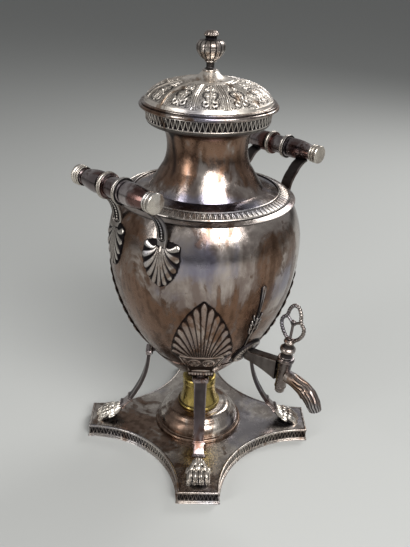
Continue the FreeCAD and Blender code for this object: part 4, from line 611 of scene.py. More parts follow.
dome_line, _ = evenly(outline((57.4, 5.6), (57.1, 6.2), (51.4, 13.7, 44.0, 18.4), (33.5, 21.5, 21.2, 23.6),
                              count=40), 96)
cone_top = outline((21.2, 23.6), (20.7, 23.4), (20.2, 23.9), (11.6, 26.2, 6.9, 30.7), (6.6, 30.8),
                   (0.0, 30.8), count=14)
PANELS = 12
panel_columns = PANELS * 72
panel_turns = np.linspace(0, PANELS, panel_columns, endpoint=False)[None]
panel_span = (panel_turns % 1.0) * 2 - 1
chased = unit((column(len(dome_line)) - 0.03) / 0.94)
inner = (chased > 0.005) & (chased < 0.995)
panel_half = math.pi * dome_line[:, :1] / PANELS
aside = panel_span * panel_half
edge_gap = panel_half - np.abs(aside)
foot_gap = np.hypot(np.maximum(5.0 - edge_gap, 0), np.maximum(5.0 - 41.0 * chased, 0))
edge_gap = np.minimum(edge_gap, 5.0 - foot_gap)
ribs = ridge(edge_gap, 0.85, 0.36) + 0.35 * ridge(edge_gap, 2.5, 0.25)
aside = aside / 1.25
length = 32.0 * chased


def bump(x, y, wide, tall, lean=0.0):
    """A smooth round-topped bump over an oval in the panel, leaning aside by a share of its height."""
    across = (np.abs(aside) - x - lean * (length - y)) / wide
    return np.sqrt(unit(1 - across ** 2 - ((length - y) / tall) ** 2))


def ring(x, y, radius, thick):
    """A raised ring in the panel."""
    return ridge(np.hypot(np.abs(aside) - x, length - y), radius, thick)


petal_turn = np.arctan2(aside, length - 14.5)
petal_reach = np.hypot(aside, length - 14.5)
flower = unit(1.15 - np.abs(petal_reach / (2.9 + 1.1 * np.cos(petal_turn * 6)) - 0.62) * 2.4)
bud = np.sqrt(unit(1 - (petal_reach / 1.25) ** 2))
scrolls = np.maximum(ring(2.9, 6.4, 1.7, 0.42), ring(2.2, 21.2, 1.2, 0.38))
stem = ridge(aside, 0, 0.42) * ((length > 3.0) & (length < 25.0))
leaves = highest(bump(1.9, 10.2, 1.0, 2.2, 0.25), bump(1.5, 24.6, 0.7, 1.6, -0.2),
                 bump(4.3, 9.2, 0.7, 1.5, 0.2), bump(0.0, 27.2, 0.9, 1.7))
motif = highest(flower, bud, scrolls, 0.7 * stem, leaves) * (edge_gap > 2.6)
fillet = ridge(chased, 0.03, 0.02) + ridge(chased, 0.97, 0.022)
dome_high = unit(highest(ribs, motif, fillet))
dome_dark = highest(ridge(edge_gap, 0, 0.34), ridge(edge_gap, 1.75, 0.4), 0.9 * ridge(petal_reach, 5.0, 0.55),
                    0.8 * ridge(motif, 0.25, 0.17) * (edge_gap > 2.9),
                    0.8 * ring(2.9, 6.4, 2.7, 0.4), 0.6 * ring(2.9, 6.4, 0.3, 0.7))
dome_dark = dome_dark * (1 - unit(np.maximum(motif - 0.45, fillet)))
dome_high = np.where(inner, 0.56 + 0.44 * dome_high - 0.36 * dome_dark, 0.9)
stipple = np.random.default_rng(7).random((len(dome_line), panel_columns // 2)).repeat(2, 1)
stippled = (dome_high < 0.7) * (edge_gap > 2.9) * (chased > 0.05) * (chased < 0.95)
dome_high = dome_high - stippled * 0.42 * stipple ** 2
swell = np.where((chased > 0) & (chased < 1), 1 - (panel_span ** 4), 1.0)
lift = np.where(inner, dome_high - 0.6, 0.0) + 0.35 * (swell - 1)
dome_sheet = about_z(dome_line[:, :1] + 0.35 * lift, panel_turns * math.tau / PANELS,
                     LID + dome_line[:, 1:] + lift)
hollow_line = outline((0.0, 29.6), (5.7, 29.6), (11.0, 25.1, 21.0, 22.4), (33.5, 20.3, 43.5, 17.3),
                      (50.5, 12.9, 56.2, 5.7), (57.4, 5.6), count=14)
piece("lid_panels", [(dome_sheet, "c", dome_high), turned(cone_top, 0.9, LID, panel_columns)],
      lid_ground, body="lid", instead=["lid_dome"])
piece("lid_inside", [turned(hollow_line, 0.7, LID, panel_columns // 6)], plate, body="lid")
coat(plate, "lid_bezel")

# Knob. A turned stem with a black neck, a vase with sixteen gadroons and a chased button, all held by a
# threaded stud with a nut under the dome.
KNOB = LID + 30.8
stem_line = outline((0.0, -0.1), (6.5, 0.0), (6.9, 0.7, 6.3, 1.3), (4.6, 1.9), (3.6, 2.8, 3.5, 4.4),
                    (3.5, 6.6), (3.9, 7.2, 4.9, 7.5), (5.3, 8.0, 4.6, 8.5), (0.0, 8.5))
piece("knob_neck", [turned(stem_line, banded(stem_line[:, 1], 0.2, (1.8, 7.3)), KNOB, 64)], ornament,
      body="lid", instead=["knob_stem"])
vase_line = outline((0.0, 0.1), (4.2, 0.1), (8.6, 2.8, 11.4, 6.6), (12.55, 9.0, 12.5, 11.2),
                    (12.2, 13.9, 10.4, 16.2), (9.6, 16.8), (8.0, 16.95), (0.0, 16.9), count=14)


def gadroons(angle, line):
    """Sixteen rounded lobes with sharp creases between, fading out at the top of the vase."""
    depth = 0.2 * unit(line[:, 1:] / 2.0) * unit((16.9 - line[:, 1:]) / 1.4)
    return 1 - depth + depth * np.abs(np.sin(angle * 8.0 + 0.4)) ** 0.7


knob_angle = circle(384)
vase_high = 0.02 + 0.98 * np.abs(np.sin(knob_angle * 8.0 + 0.4)) ** 1.1
vase_high = np.where(vase_line[:, 1:] > 16.5, 0.3, vase_high)
piece("knob_gadroons", [turned(vase_line, vase_high, KNOB + 8.4, 384, gadroons)], ornament, body="lid",
      instead=["knob_vase"], sharp=60)
button_line = outline((0.0, 0.0), (5.6, 0.0), (4.8, 1.5, 5.6, 3.2), (6.2, 3.6), (6.5, 4.3, 6.1, 5.0),
                      (4.9, 6.8, 1.3, 7.75), (0.0, 7.8), count=10)


def button_wave(angle, line):
    """Fourteen shallow petals over the button's cap."""
    depth = 0.09 * unit((line[:, 1:] - 4.6) / 1.0)
    return 1 - depth + depth * np.abs(np.sin(angle * 7.0))


button_high = np.where(button_line[:, 1:] > 4.8, 0.25 + 0.75 * np.abs(np.sin(knob_angle * 7)), 0.9)
button_high = np.where(button_line[:, 1:] < 3.3, 0.12, button_high)
piece("knob_cap", [turned(button_line, button_high, KNOB + 25.4, 384, button_wave)], ornament, body="lid",
      instead=["knob_button"], sharp=60)

# Lid hinge at the back, three knuckles of the same plate on a steel pin, and the other steel fixings: the
# knob's nut inside the lid, the tap's back nut and the screws of the paws.
steel = tarnished("dull_steel", (0.42, 0.40, 0.39), (0.24, 0.22, 0.21), (0.20, 0.10, 0.05),
                  (0.22, 0.23, 0.26), stained=0.4, gloss=0.3, dents=0.0)
coat(plate, "hinge_leaf", "lid_hinge_leaf")
coat(steel, "hinge_pin", "knob_nut", "paw_screws", "tap_backnut")

# Handle bars. Each is turned with a pair of rings beside its middle and rings at its ends, tarnished red
# and purple on the long parts and black in the necks.
bar_plate = tarnished("turned_plate", (0.46, 0.41, 0.40), (0.20, 0.165, 0.165), (0.125, 0.058, 0.048),
                      (0.20, 0.185, 0.235), stained=0.38, gloss=0.15, dents=0.0)
ring_plate = tarnished("pale_rings", (0.60, 0.55, 0.48), (0.36, 0.32, 0.28), (0.26, 0.17, 0.11),
                       (0.36, 0.35, 0.35), stained=0.3, gloss=0.22, dents=0.0, metal=0.85)
BAR_REACH, BAR_LEVEL = 106.8, 299.3
bar_half_line = outline(
    (8.8, 0.0), (8.8, 7.0), (9.6, 7.2), (11.4, 7.95, 9.5, 8.7), (9.4, 9.1), (9.5, 9.5),
    (11.8, 10.3, 9.4, 11.2), (8.1, 11.7), (7.3, 13.2, 8.6, 14.7), (9.1, 15.2), (9.7, 15.4),
    (9.2, 28.0, 6.3, 40.3), (7.2, 40.7), (8.5, 41.6, 7.3, 42.5), (6.6, 43.2), (7.3, 43.9),
    (8.8, 44.7, 7.6, 45.6), (7.5, 46.4), (8.5, 46.9), (8.85, 47.4), (8.85, 49.1), (8.3, 49.75),
    (6.9, 49.6), (0.0, 49.6), count=9)
bar_line = np.concatenate([bar_half_line[::-1] * [1, -1], bar_half_line[1:]])
bar_high = banded(np.abs(bar_line[:, 1]), 0.12, (9.05, 9.35), (11.4, 14.9), (40.5, 40.9), (42.7, 43.7),
                  (45.7, 46.6))
cuts = np.searchsorted(bar_line[:, 1], [-40.45, -11.3, -7.05, 7.05, 11.3, 40.45])
for side, sign in (("left", -1), ("right", 1)):
    bar = spun(bar_line, 96)[..., [0, 2, 1]] * [1, 1, -1] + [sign * BAR_REACH, 0, BAR_LEVEL]
    parts = [(bar[low:high + 1], "c", bar_high[low:high + 1, None])
             for low, high in zip([0, *cuts], [*cuts, len(bar) - 1])]
    long_parts = piece(f"bar_{side}", parts[1::2], bar_plate, instead=[f"handle_bar_{side}"])
    bled(long_parts, lambda points: 0.45 + 0.3 * np.sin(points[:, 1] / 6.0))
    piece(f"bar_rings_{side}", parts[::2], ring_plate)

# Handle straps. Four flat straps rise from the palmettes and bend out under the bars. Their outer face has a
# bright raised border round a black sunk panel with a row of beads, rounded at its lower end.


def heading(path, closed=False):
    """The direction of a path at each of its points."""
    ahead = np.roll(path, -1, 0) - np.roll(path, 1, 0) if closed else np.gradient(path, axis=0)
    return ahead / np.linalg.norm(ahead, axis=1, keepdims=True)


def beside(path, ahead, lift, aside):
    """Points of a path of (distance from the axis, level), lifted square to it and moved aside."""
    return np.dstack([path[:, :1] + lift * ahead[:, 1:], aside, path[:, 1:] - lift * ahead[:, :1]])


def capped(spots):
    """A tube of points closed flat at both ends, by rows that lie in the middle of each end."""
    ends = [np.broadcast_to(spots[row].mean(0), spots[:1].shape) for row in (0, -1)]
    return np.concatenate([ends[0], spots, ends[1]])


def ended(high):
    """The heights of a capped tube: those of its first and last row once more for its ends."""
    return np.concatenate([high[:1], high, high[-1:]])


def swept(path, wide, thick, square=0.3, columns=28, face=0):
    """A bar along a path of (distance from the axis, level) points. Its section is a squarish oval of half
    width and half thickness; face adds a height to the outer side. The ends are closed flat."""
    path = np.asarray(path, float)
    turn = circle(columns)
    across = np.sign(np.sin(turn)) * np.abs(np.sin(turn)) ** square
    out = np.sign(np.cos(turn)) * np.abs(np.cos(turn)) ** square
    wide, thick = (np.broadcast_to(np.asarray(half, float), len(path))[:, None] for half in (wide, thick))
    return capped(beside(path, heading(path), thick * out + face, -wide * across))


def spun_to(points, degrees):
    """The same points turned about Z."""
    angle = math.radians(degrees)
    return points @ np.array([[math.cos(angle), math.sin(angle), 0], [-math.sin(angle), math.cos(angle), 0],
                              [0, 0, 1]])


def moved(sheets, place, *given):
    """The sheets with their points put in place by a function."""
    return [(place(points, *given), closed, high) for points, closed, high in sheets]


STRAP_HALF, STRAP_BACK, STRAP_ASIDE = 6.0, 1.3, 29.5
strap_path = np.concatenate([arc((83.5, 251.0), (84.1, 270.0), (92.25, 280.9), 30),
                             arc((92.25, 280.9), (98.1, 286.7), (106.8, 290.3), 20)[1:]])
strap_path, strap_length = evenly(strap_path, 130)
strap_run = np.linspace(0, strap_length, 130)[:, None]
strap_across = STRAP_HALF * np.linspace(1, -1, 31)[None]
to_border = np.hypot(strap_across, np.maximum(9.0 - strap_run, 0))
sunk = unit((5.25 - to_border) / 0.4)
bead_gap = np.hypot(strap_across, (strap_run % 2.7) - 1.35)
panel_bead = np.sqrt(unit(1 - (bead_gap / 1.15) ** 2)) * (strap_run > 6.3)
inner_line = ridge(to_border, 4.0, 0.33) * (strap_run > 4.6)
border_fall = unit((STRAP_HALF - np.abs(strap_across)) / 0.6)
strap_height = -0.8 * sunk + 0.75 * panel_bead + 0.5 * inner_line - 0.45 * (1 - border_fall)
strap_bright = unit(0.5 * (1 - sunk) + 0.95 * panel_bead + 0.7 * inner_line)
strap_lift = np.hstack([STRAP_BACK + strap_height, np.tile([-0.9, -STRAP_BACK, -STRAP_BACK, -0.9], (130, 1))])
strap_aside = np.append(strap_across, [-STRAP_HALF, -5.6, 5.6, STRAP_HALF]) * np.ones((130, 1))
strap_high = np.hstack([strap_bright, np.full((130, 4), 0.24)])
for place, (turn, sign) in STRAPS.items():
    strap = beside(strap_path, heading(strap_path), strap_lift, sign * STRAP_ASIDE - strap_aside)
    piece(f"strap_{place}", [(spun_to(strap, turn), "c", strap_high)], ornament,
          instead=[f"handle_strap_{place}"])

# Palmettes under the straps and over the legs. Each is a casting: a thin plate with lobes that fan out from
# its root, bright on their rounded tips and black between, soldered to the bowl.


def facing(across, level, out):
    """Points on the bowl, drawn face on: across is measured square to the axis, and below the bowl's edge
    the casting hangs straight down."""
    across, level = np.broadcast_arrays(across, level)
    held = np.clip(level, 112.0, 270.0)
    slope = bowl_slope(held)
    radius = bowl_radius(held) + out * np.cos(slope)
    ahead = np.sqrt(np.maximum(radius ** 2 - across ** 2, 1.0))
    return np.stack([ahead, across, level - out * np.sin(slope)], -1)


def lobe(root, bend, tip, narrow, broad, base, relief, rows=26):
    """A rounded rib on a curve from a root to a tip: it widens evenly, swells at its round end, and its
    height over the plate is half a circle across it."""
    share = column(rows)
    root, bend, tip = (np.array(spot, float) for spot in (root, bend, tip))
    middle = root * (1 - share) ** 2 + 2 * bend * share * (1 - share) + tip * share ** 2
    ahead = 2 * (bend - root) * (1 - share) + 2 * (tip - bend) * share
    ahead /= np.linalg.norm(ahead, axis=1, keepdims=True)
    width = (narrow + (broad - narrow) * share) / 2 * np.sqrt(unit((1 - share) / 0.09))
    aside = np.linspace(1, -1, 11)[None]
    crest = np.sqrt(unit(1 - aside ** 2))
    end_round = np.sqrt(unit((1 - share) / 0.06))
    height = crest * (0.55 + 0.45 * share ** 2) * end_round
    x = middle[:, :1] - ahead[:, 1:] * aside * width
    z = middle[:, 1:] + ahead[:, :1] * aside * width
    bright = unit(0.03 + crest ** 6 * (0.62 + 0.75 * share) * end_round)
    return facing(x, z, base + (relief - base) * height), "", bright


def pitches(tips):
    """The room that each lobe of a row has at its tip: the mean distance to its neighbours."""
    steps = np.linalg.norm(np.diff(tips, axis=0), axis=1)
    return (np.append(steps[0], steps) + np.append(steps, steps[-1])) / 2


def plate_under(edge, centre, base):
    """The plate: rings from its centre to its edge, and a short wall down to the bowl."""
    steps = [(0.02, base), (0.35, base), (0.7, base), (0.94, base), (1.0, 0.6 * base), (1.0, 0.05)]
    rings = [facing(*(centre + (edge - centre) * share).T, out) for share, out in steps]
    return np.stack(rings), "c", 0.08


def scalloped(tips, depth):
    """An edge that runs through the lobes' tips and dips between them, as a closed line."""
    tips = np.asarray(tips, float)
    middle = (tips[:-1] + tips[1:]) / 2
    inward = tips.mean(0) - middle
    inward /= np.linalg.norm(inward, axis=1, keepdims=True)
    line = np.empty((2 * len(tips) - 1, 2))
    line[::2] = tips
    line[1::2] = middle + inward * depth
    return line


FAN_FOOT = 4.6
fan_tips = [(16.6, 252.0), (18.0, 240.6), (15.6, 230.4), (11.6, 222.6), (6.2, 216.6), (0.0, 214.4)]
fan_tips = [(-x, z) for x, z in fan_tips[:-1]] + fan_tips[::-1]
fan_edge = np.concatenate([scalloped(fan_tips, 1.0), [(6.0, 256.0), (-6.0, 256.0)]])
fan_sheets = [plate_under(fan_edge, np.array([0.0, 240.0]), 0.95)]
for tip, root_x, room in zip(fan_tips, np.linspace(-FAN_FOOT, FAN_FOOT, len(fan_tips)), pitches(fan_tips)):
    root_z = 250.5 - 1.6 * (1 - (root_x / FAN_FOOT) ** 2)
    bend = (root_x * 1.6, 0.45 * root_z + 0.55 * tip[1] - 1.0)
    if tip in (fan_tips[0], fan_tips[-1]):
        bend = (root_x * 1.7, 246.0)
    fan_sheets.append(lobe((root_x, root_z), bend, tip, 1.3, min(0.9 * room, 8.6), 0.9, 2.25))
fan_sheets.append(lobe((0.0, 252.5), (0.0, 250.0), (0.0, 245.5), 3.0, 5.0, 0.9, 2.3))
for place, (turn, sign) in STRAPS.items():
    piece(f"fan_{place}", moved(fan_sheets, spun_to, turn + sign * FAN_TURN), ornament,
          instead=[f"handle_palmette_{place}"], sharp=70)

shell_tips = [(27.4, 140.5), (26.9, 150.5), (24.9, 161.0), (21.9, 171.3), (18.0, 180.8), (13.1, 189.5),
              (7.2, 197.4), (0.0, 203.3)]
shell_tips = shell_tips[:-1] + [(-x, z) for x, z in shell_tips[::-1]]
shell_edge = np.concatenate([scalloped(shell_tips, 1.3), [(-27.4, 136.0), (-24.6, 129.5), (-18.0, 118.0),
                             (-13.4, 110.0), (-12.6, 104.0), (-12.6, 100.3), (12.6, 100.3), (12.6, 104.0),
                             (13.4, 110.0), (18.0, 118.0), (24.6, 129.5), (27.4, 136.0)]])
shell_plate = tarnished("shell_metal", (0.56, 0.48, 0.42), (0.31, 0.235, 0.20), (0.24, 0.125, 0.07),
                        (0.24, 0.22, 0.25), (0.022, 0.013, 0.010), stained=0.45, gloss=0.2, dents=0.0)
shell_sheets = [plate_under(shell_edge, np.array([0.0, 150.0]), 1.15)]
for tip, root_x, room in zip(shell_tips, np.linspace(13.0, -13.0, len(shell_tips)), pitches(shell_tips)):
    bend = (root_x * 1.25 + 0.12 * tip[0], 0.45 * 133.5 + 0.55 * tip[1] - abs(root_x) * 0.25)
    shell_sheets.append(lobe((root_x, 133.0), bend, tip, 1.4, min(0.93 * room, 9.2), 1.1, 2.7, 34))
eye_up = column(44)
eye_level = 102.2 + 31.0 * eye_up
eye_half = np.interp(eye_level, [100, 104, 110, 118, 129.5, 134], [12.2, 12.2, 12.9, 17.0, 22.0, 20.0])
eye_side = np.linspace(1, -1, 91)[None] * eye_half


def eye_ring(x, z, wide, tall, thick):
    """A raised oval line on the band, and its twin on the other side."""
    return ridge(np.hypot((np.abs(eye_side) - x) / wide, (eye_level - z) / tall), 1, thick)


eye_boss = np.sqrt(unit(1 - ((np.abs(eye_side) - 6.6) / 1.8) ** 2 - ((eye_level - 121.5) / 2.0) ** 2))
eye_beads = np.sqrt(unit(1 - np.hypot((eye_side + 1.35) % 2.7 - 1.35, eye_level - 104.6) ** 2 / 1.5))
eye_edge = ridge(eye_half - np.abs(eye_side), 0.9, 0.5) * (eye_level > 108)
eye_leaf = ridge(np.abs(eye_side), 14.2 + (eye_level - 122) * 0.45, 1.3) * (np.abs(eye_level - 122) < 6)
eye_high = unit(highest(eye_ring(6.6, 121.5, 5.2, 5.8, 0.13), 0.8 * eye_ring(6.6, 121.5, 3.2, 3.7, 0.16),
                        eye_boss, eye_beads, eye_edge, 0.8 * eye_leaf, ridge(eye_level, 131.6, 0.7),
                        ridge(eye_level, 108.4, 0.5)))
eye_rise = 1.3 + 1.1 * eye_high
eye_rise[[0, -1]] = 1.0
shell_sheets.append((facing(eye_side, eye_level, eye_rise), "", 0.26 + 0.7 * eye_high))

# Legs. Flat straps with bevelled edges bend out from a cornice under each palmette and end in two square
# collars over a lion's paw, cast with leaves, locks of fur and four toes and screwed on from below.
leg_path = np.concatenate([arc((83.0, 28.0), (74.0, 37.6), (66.5, 49.7), 30),
                           arc((66.5, 49.7), (58.6, 67.5), (53.4, 99.0), 40)[1:]])
leg_path, _ = evenly(leg_path, 90)
leg_share = np.linspace(0, 1, 90)
leg_wide = np.interp(leg_share, [0, 0.1, 0.4, 1.0], [5.5, 5.0, 5.5, 6.4])
# Painted light: the leg's flat faces are darkened as painted shade and its bevelled corners keep the full
# tone as painted highlights; round the collars the leg is kept bright all round.
bright_ankle = np.interp(leg_share, [0.0, 0.15, 0.18, 1.0], [0.85, 0.85, 0.0, 0.0])[:, None]
leg_shade_and_highlight = ended(np.maximum(0.30 + 0.7 * np.sin(2 * circle(40)) ** 4, bright_ankle))


def across_leg(spot, lean, long, wide, thick):
    """A square collar across the leg at a spot, its length lying along the leg at a lean."""
    run = np.array([math.cos(math.radians(lean)), math.sin(math.radians(lean))])
    steps = np.array([-0.5, -0.42, 0.42, 0.5])[:, None]
    grow = np.array([0.86, 1.0, 1.0, 0.86])
    return swept(spot + run * steps * long, wide * grow, thick * grow, 0.14, 32), "c", 1.0


cornice = np.array([(53.4, 95.6), (53.4, 96.2), (53.4, 98.0), (53.4, 99.6), (53.4, 100.1)])
leg_sheets = [(swept(leg_path, leg_wide, 1.9, 0.16, 40), "c", leg_shade_and_highlight),
              across_leg((73.4, 38.5), -52.0, 0.9, 5.8, 2.4),
              across_leg((74.3, 37.2), -52.0, 1.5, 6.3, 2.8),
              across_leg((81.5, 29.2), -37.0, 0.9, 6.0, 2.5),
              across_leg((82.8, 28.2), -36.0, 1.9, 6.5, 2.9),
              (swept(cornice, [7.1, 7.6, 7.2, 7.9, 7.6], [2.7, 3.1, 2.7, 3.2, 3.0], 0.14, 32), "c", 0.95),
              (swept([(43.5, 102.5), (46.0, 101.5), (52.0, 99.0)], 3.8, [1.6, 2.6, 2.6]), "c", 0.3)]

PAW_FLOOR = 13.32
# At seven distances from the axis: the paw's top, its underside and its half width.
paw_stops = np.array([(83.9, 28.6, 23.0, 5.8), (87.0, 28.0, 20.5, 7.0), (90.2, 26.8, 17.8, 8.4),
                      (94.5, 25.0, 15.0, 10.2), (98.2, 22.9, PAW_FLOOR, 11.2), (103.0, 20.2, PAW_FLOOR, 11.2),
                      (107.4, 16.4, PAW_FLOOR, 10.4)])


def paw_top(s, y):
    """The height of the paw's upper side: it falls towards the toes and rounds down at both sides."""
    half = np.interp(s, paw_stops[:, 0], paw_stops[:, 3])
    return np.interp(s, paw_stops[:, 0], paw_stops[:, 1]) - 4.8 * np.minimum(np.abs(y) / half, 1.12) ** 2.6


def lock(start, end, half, rise, flare=0.0, ripple=0.0):
    """A leaf, a lock of fur or a toe laid over the paw from start to end, each a distance from the axis and
    a distance aside. Its half width grows with flare and its skin is grooved along its length by ripple."""
    start, end = np.array(start, float), np.array(end, float)
    run = (end - start) / np.linalg.norm(end - start)
    up = np.linspace(0.03, math.pi - 0.03, 16)[:, None]
    turn = circle(30)
    share = (1 - np.cos(up)) / 2
    groove = np.cos(7 * turn + 1.4)
    swell = np.sin(up) ** 0.7 * (1 + ripple * groove)
    aside = half * swell * (1 + flare * (2 * share - 1)) * np.cos(turn)
    lift = rise * swell * np.sin(turn)
    s = start[0] + (end[0] - start[0]) * share - run[1] * aside
    y = start[1] + (end[1] - start[1]) * share + run[0] * aside
    z = np.maximum(paw_top(s, y) + lift - 0.35, PAW_FLOOR)
    high = 0.22 + 0.85 * np.sin(up) ** 0.5 * np.maximum(np.sin(turn), 0) ** 0.7
    high = high * (0.62 + 0.38 * groove) if ripple else high
    return np.dstack([s + 0.4 * lift, -y, z]), "c", np.clip(high, 0.05, 1.0)


paw_path = np.stack([paw_stops[:, 0], (paw_stops[:, 1] + paw_stops[:, 2]) / 2], 1)
paw_body = swept(paw_path, paw_stops[:, 3], (paw_stops[:, 1] - paw_stops[:, 2]) / 2, 0.6, 32)
paw_body[..., 2] = np.clip(paw_body[..., 2], PAW_FLOOR, paw_top(paw_body[..., 0], paw_body[..., 1]))
paw_sheets = [(paw_body, "c", 0.08)]
for y in (-7.6, -3.9, 0.0, 3.9, 7.6):
    paw_sheets.append(lock((83.4, 0.6 * y), (92.6 - 0.1 * abs(y), y), 2.0, 1.5, 0.6))
paw_sheets.append(lock((90.6, 0.0), (98.0, 0.0), 3.5, 2.6))
for side_sign in (-1, 1):
    paw_sheets.append(lock((90.6, 6.6 * side_sign), (97.2, 8.0 * side_sign), 2.9, 2.3))
    paw_sheets.append(lock((94.0, 3.9 * side_sign), (97.8, 4.5 * side_sign), 1.3, 1.5))
    paw_sheets.append(lock((89.6, 9.4 * side_sign), (96.4, 11.2 * side_sign), 1.9, 1.6))
    for aside, back in ((8.8, 1.4), (2.95, 0.0)):
        paw_sheets.append(lock((97.0 - back, 0.94 * aside * side_sign), (105.4 - back, aside * side_sign),
                               3.0, 3.0, 0.1, 0.05))
        for claw in (-2.0, -0.7, 0.7, 2.0):
            paw_sheets.append(lock((102.4 - back, (aside + claw * 0.8) * side_sign),
                                   (110.2 - back - 0.6 * abs(claw), (aside + claw) * side_sign), 0.62, 2.3))
leg_plate = tarnished("leg_plate", (0.37, 0.32, 0.31), (0.17, 0.135, 0.135), (0.16, 0.075, 0.045),
                      (0.19, 0.18, 0.23), gloss=0.16, dents=0.0)
for corner, turn in CORNERS.items():
    piece(f"leg_strap_{corner}", moved(leg_sheets, spun_to, turn), leg_plate, instead=[f"leg_{corner}"])
    piece(f"lion_paw_{corner}", moved(paw_sheets, spun_to, turn), ring_plate,
          instead=[f"paw_{corner}"], sharp=70)
    piece(f"shell_{corner}", moved(shell_sheets, spun_to, turn), shell_plate,
          instead=[f"leg_palmette_{corner}"], sharp=70)

# Tap. A beaded rosette and a deep flat pipe carry an upright barrel that leans out a little. The spout is
# cast with long wavy leaves. The tapered plug turns with a collar, a black neck and an openwork key.
tap_plate = tarnished("tap_metal", (0.34, 0.30, 0.27), (0.15, 0.12, 0.11), (0.14, 0.07, 0.04),
                      (0.14, 0.14, 0.165), stained=0.4, gloss=0.18, dents=0.0)
BARREL_REACH, BARREL_LEVEL, LEAN = 107.4, 124.0, math.radians(6.2)
ROOT_LEVEL = 127.0


def toward_tap(points):
    """Points drawn in the X-Z plane turned to face -Y."""
    return points[..., [1, 0, 2]] * [1, -1, 1]


def on_tap(points):
    """Points drawn about the barrel's own axis, with the spout along X, put in their place."""
    x, y, z = np.moveaxis(points, -1, 0)
    return toward_tap(np.stack([BARREL_REACH + x * math.cos(LEAN) + z * math.sin(LEAN), y,
                                BARREL_LEVEL - x * math.sin(LEAN) + z * math.cos(LEAN)], -1))


rose_line = outline((4.6, 2.2), (6.8, 2.6), (7.6, 2.6), (9.6, 1.7, 11.8, 2.0), (12.4, 2.3),
                    (14.2, 3.0, 15.9, 2.1), (16.5, 1.4), (16.5, 0.0), count=10)[::-1]
rose_angle = circle(360)
rose_reach = rose_line[:, :1]
rose_bead = np.abs(np.sin(rose_angle * 17.0)) ** 0.6
on_bead = unit(1 - np.abs(rose_reach - 14.2) / 1.9) ** 0.5
leaf_turn = np.abs(np.sin(rose_angle * 8.0 + (rose_reach - 7) * 0.05))
on_leaf = unit(1 - np.abs(rose_reach - 9.6) / 2.4)
rose_lift = rose_line[:, 1:] + on_bead * (rose_bead - 0.8) * 0.9 + on_leaf * (leaf_turn - 0.5) * 0.7
rose_x = rose_reach * np.cos(rose_angle)
rose_y = rose_reach * np.sin(rose_angle)
seat = rose_x ** 2 / 122 + rose_y ** 2 / 370
rose_lift = np.where(rose_line[:, 1:] < 0.5, -seat + 0.02, rose_lift - 0.5 * seat)
rose_high = unit(0.15 + on_bead * rose_bead + on_leaf * leaf_turn * 0.9)
root_slope = bowl_slope(ROOT_LEVEL)
along = bowl_radius(ROOT_LEVEL) + rose_lift * math.cos(root_slope) + rose_y * math.sin(root_slope)
rise = ROOT_LEVEL - rose_lift * math.sin(root_slope) + rose_y * math.cos(root_slope)
rose = np.stack([rose_x, -along, rise], -1)
piece("tap_rose", [(rose, "c", rose_high)], ornament, instead=["tap_rosette"], sharp=60)

pipe_path, _ = evenly(arc((63.2, 125.0), (78.0, 125.9), (101.0, 125.7), 20), 24)
pipe = swept(pipe_path, 4.9, 5.0 + 5.9 * np.linspace(0, 1, 24) ** 1.5, 0.2, 40)
tail = swept([(54.5, 131.3), (66.0, 123.9)], 4.95, 4.95, 1.0, 32)
barrel_line = outline((0.0, -17.4), (4.6, -17.4), (5.0, -17.0), (5.1, -15.8), (5.6, -15.5), (5.6, -14.7),
                      (5.2, -14.4), (6.9, 13.4), (7.3, 14.0), (7.9, 14.7), (8.1, 15.8, 7.8, 16.9),
                      (7.2, 17.2), (7.5, 17.9), (7.2, 18.5), (6.4, 18.6), (5.0, 18.6), (4.95, 16.0),
                      (0.0, 16.0), count=6)
barrel_high = np.where((barrel_line[:, 1] > 13.9) | (np.abs(barrel_line[:, 1] + 15.1) < 0.9), 1.0, 0.5)
piece("tap_barrel", [(toward_tap(pipe), "c", 0.42 + 0.55 * np.sin(2 * circle(40)) ** 6),
                     (toward_tap(tail), "c", 0.4),
                     (on_tap(spun(barrel_line, 72)), "c", barrel_high[:, None])],
      tap_plate, instead=["tap_body"])

spout_line = np.array([(5.0, -0.7), (12.0, -0.6), (17.8, -1.1), (25.0, -2.8), (32.0, -6.0), (37.5, -11.0),
                       (40.6, -15.2), (41.8, -17.6)])
spout_steps = np.linspace(0, 7, 90)
spout_path = np.stack([np.interp(spout_steps, np.arange(8), axis) for axis in spout_line.T], 1)
spout_path, _ = evenly(spout_path, 120)
spout_path = (spout_path + np.roll(spout_path, 1, 0) + np.roll(spout_path, -1, 0)) / 3
spout_path[[0, -1]] = spout_line[[0, -1]]
spout_share = column(120)
spout_radius = np.interp(spout_share, [0, 0.3, 0.6, 0.85, 1.0], [6.0, 6.5, 7.2, 6.6, 5.4])
spout_turn = circle(144)
strand_wave = 0.35 * np.sin(spout_share * 9.0) + 0.15 * np.sin(spout_share * 23.0)
strands = np.abs(np.sin(spout_turn * 7.5 + strand_wave * 2.2))
spout_leafy = unit((spout_share - 0.2) / 0.08) * np.clip(0.9 + np.cos(spout_turn) * 0.5, 0.4, 1)
tuft_edge = ridge(spout_share, 0.56 + 0.07 * np.cos(spout_turn * 2), 0.02)
spout_lift = spout_leafy * (strands - 0.6) + tuft_edge * 0.9 * unit(np.cos(spout_turn) + 0.9)
spout = swept(spout_path, spout_radius[:, 0], spout_radius[:, 0], 1.0, 144, spout_lift)
spout_high = ended(np.clip(0.6 + spout_leafy * (strands * 1.7 - 1.35) + tuft_edge * 0.5, 0.04, 1))
# Painted shade: the closed end of the spout darkens towards its middle, standing for the shaded bore.
spout_high[-1] *= 0.1
piece("tap_leafy_spout", [(on_tap(spout), "c", spout_high)], ornament, instead=["tap_spout"],
      sharp=60)

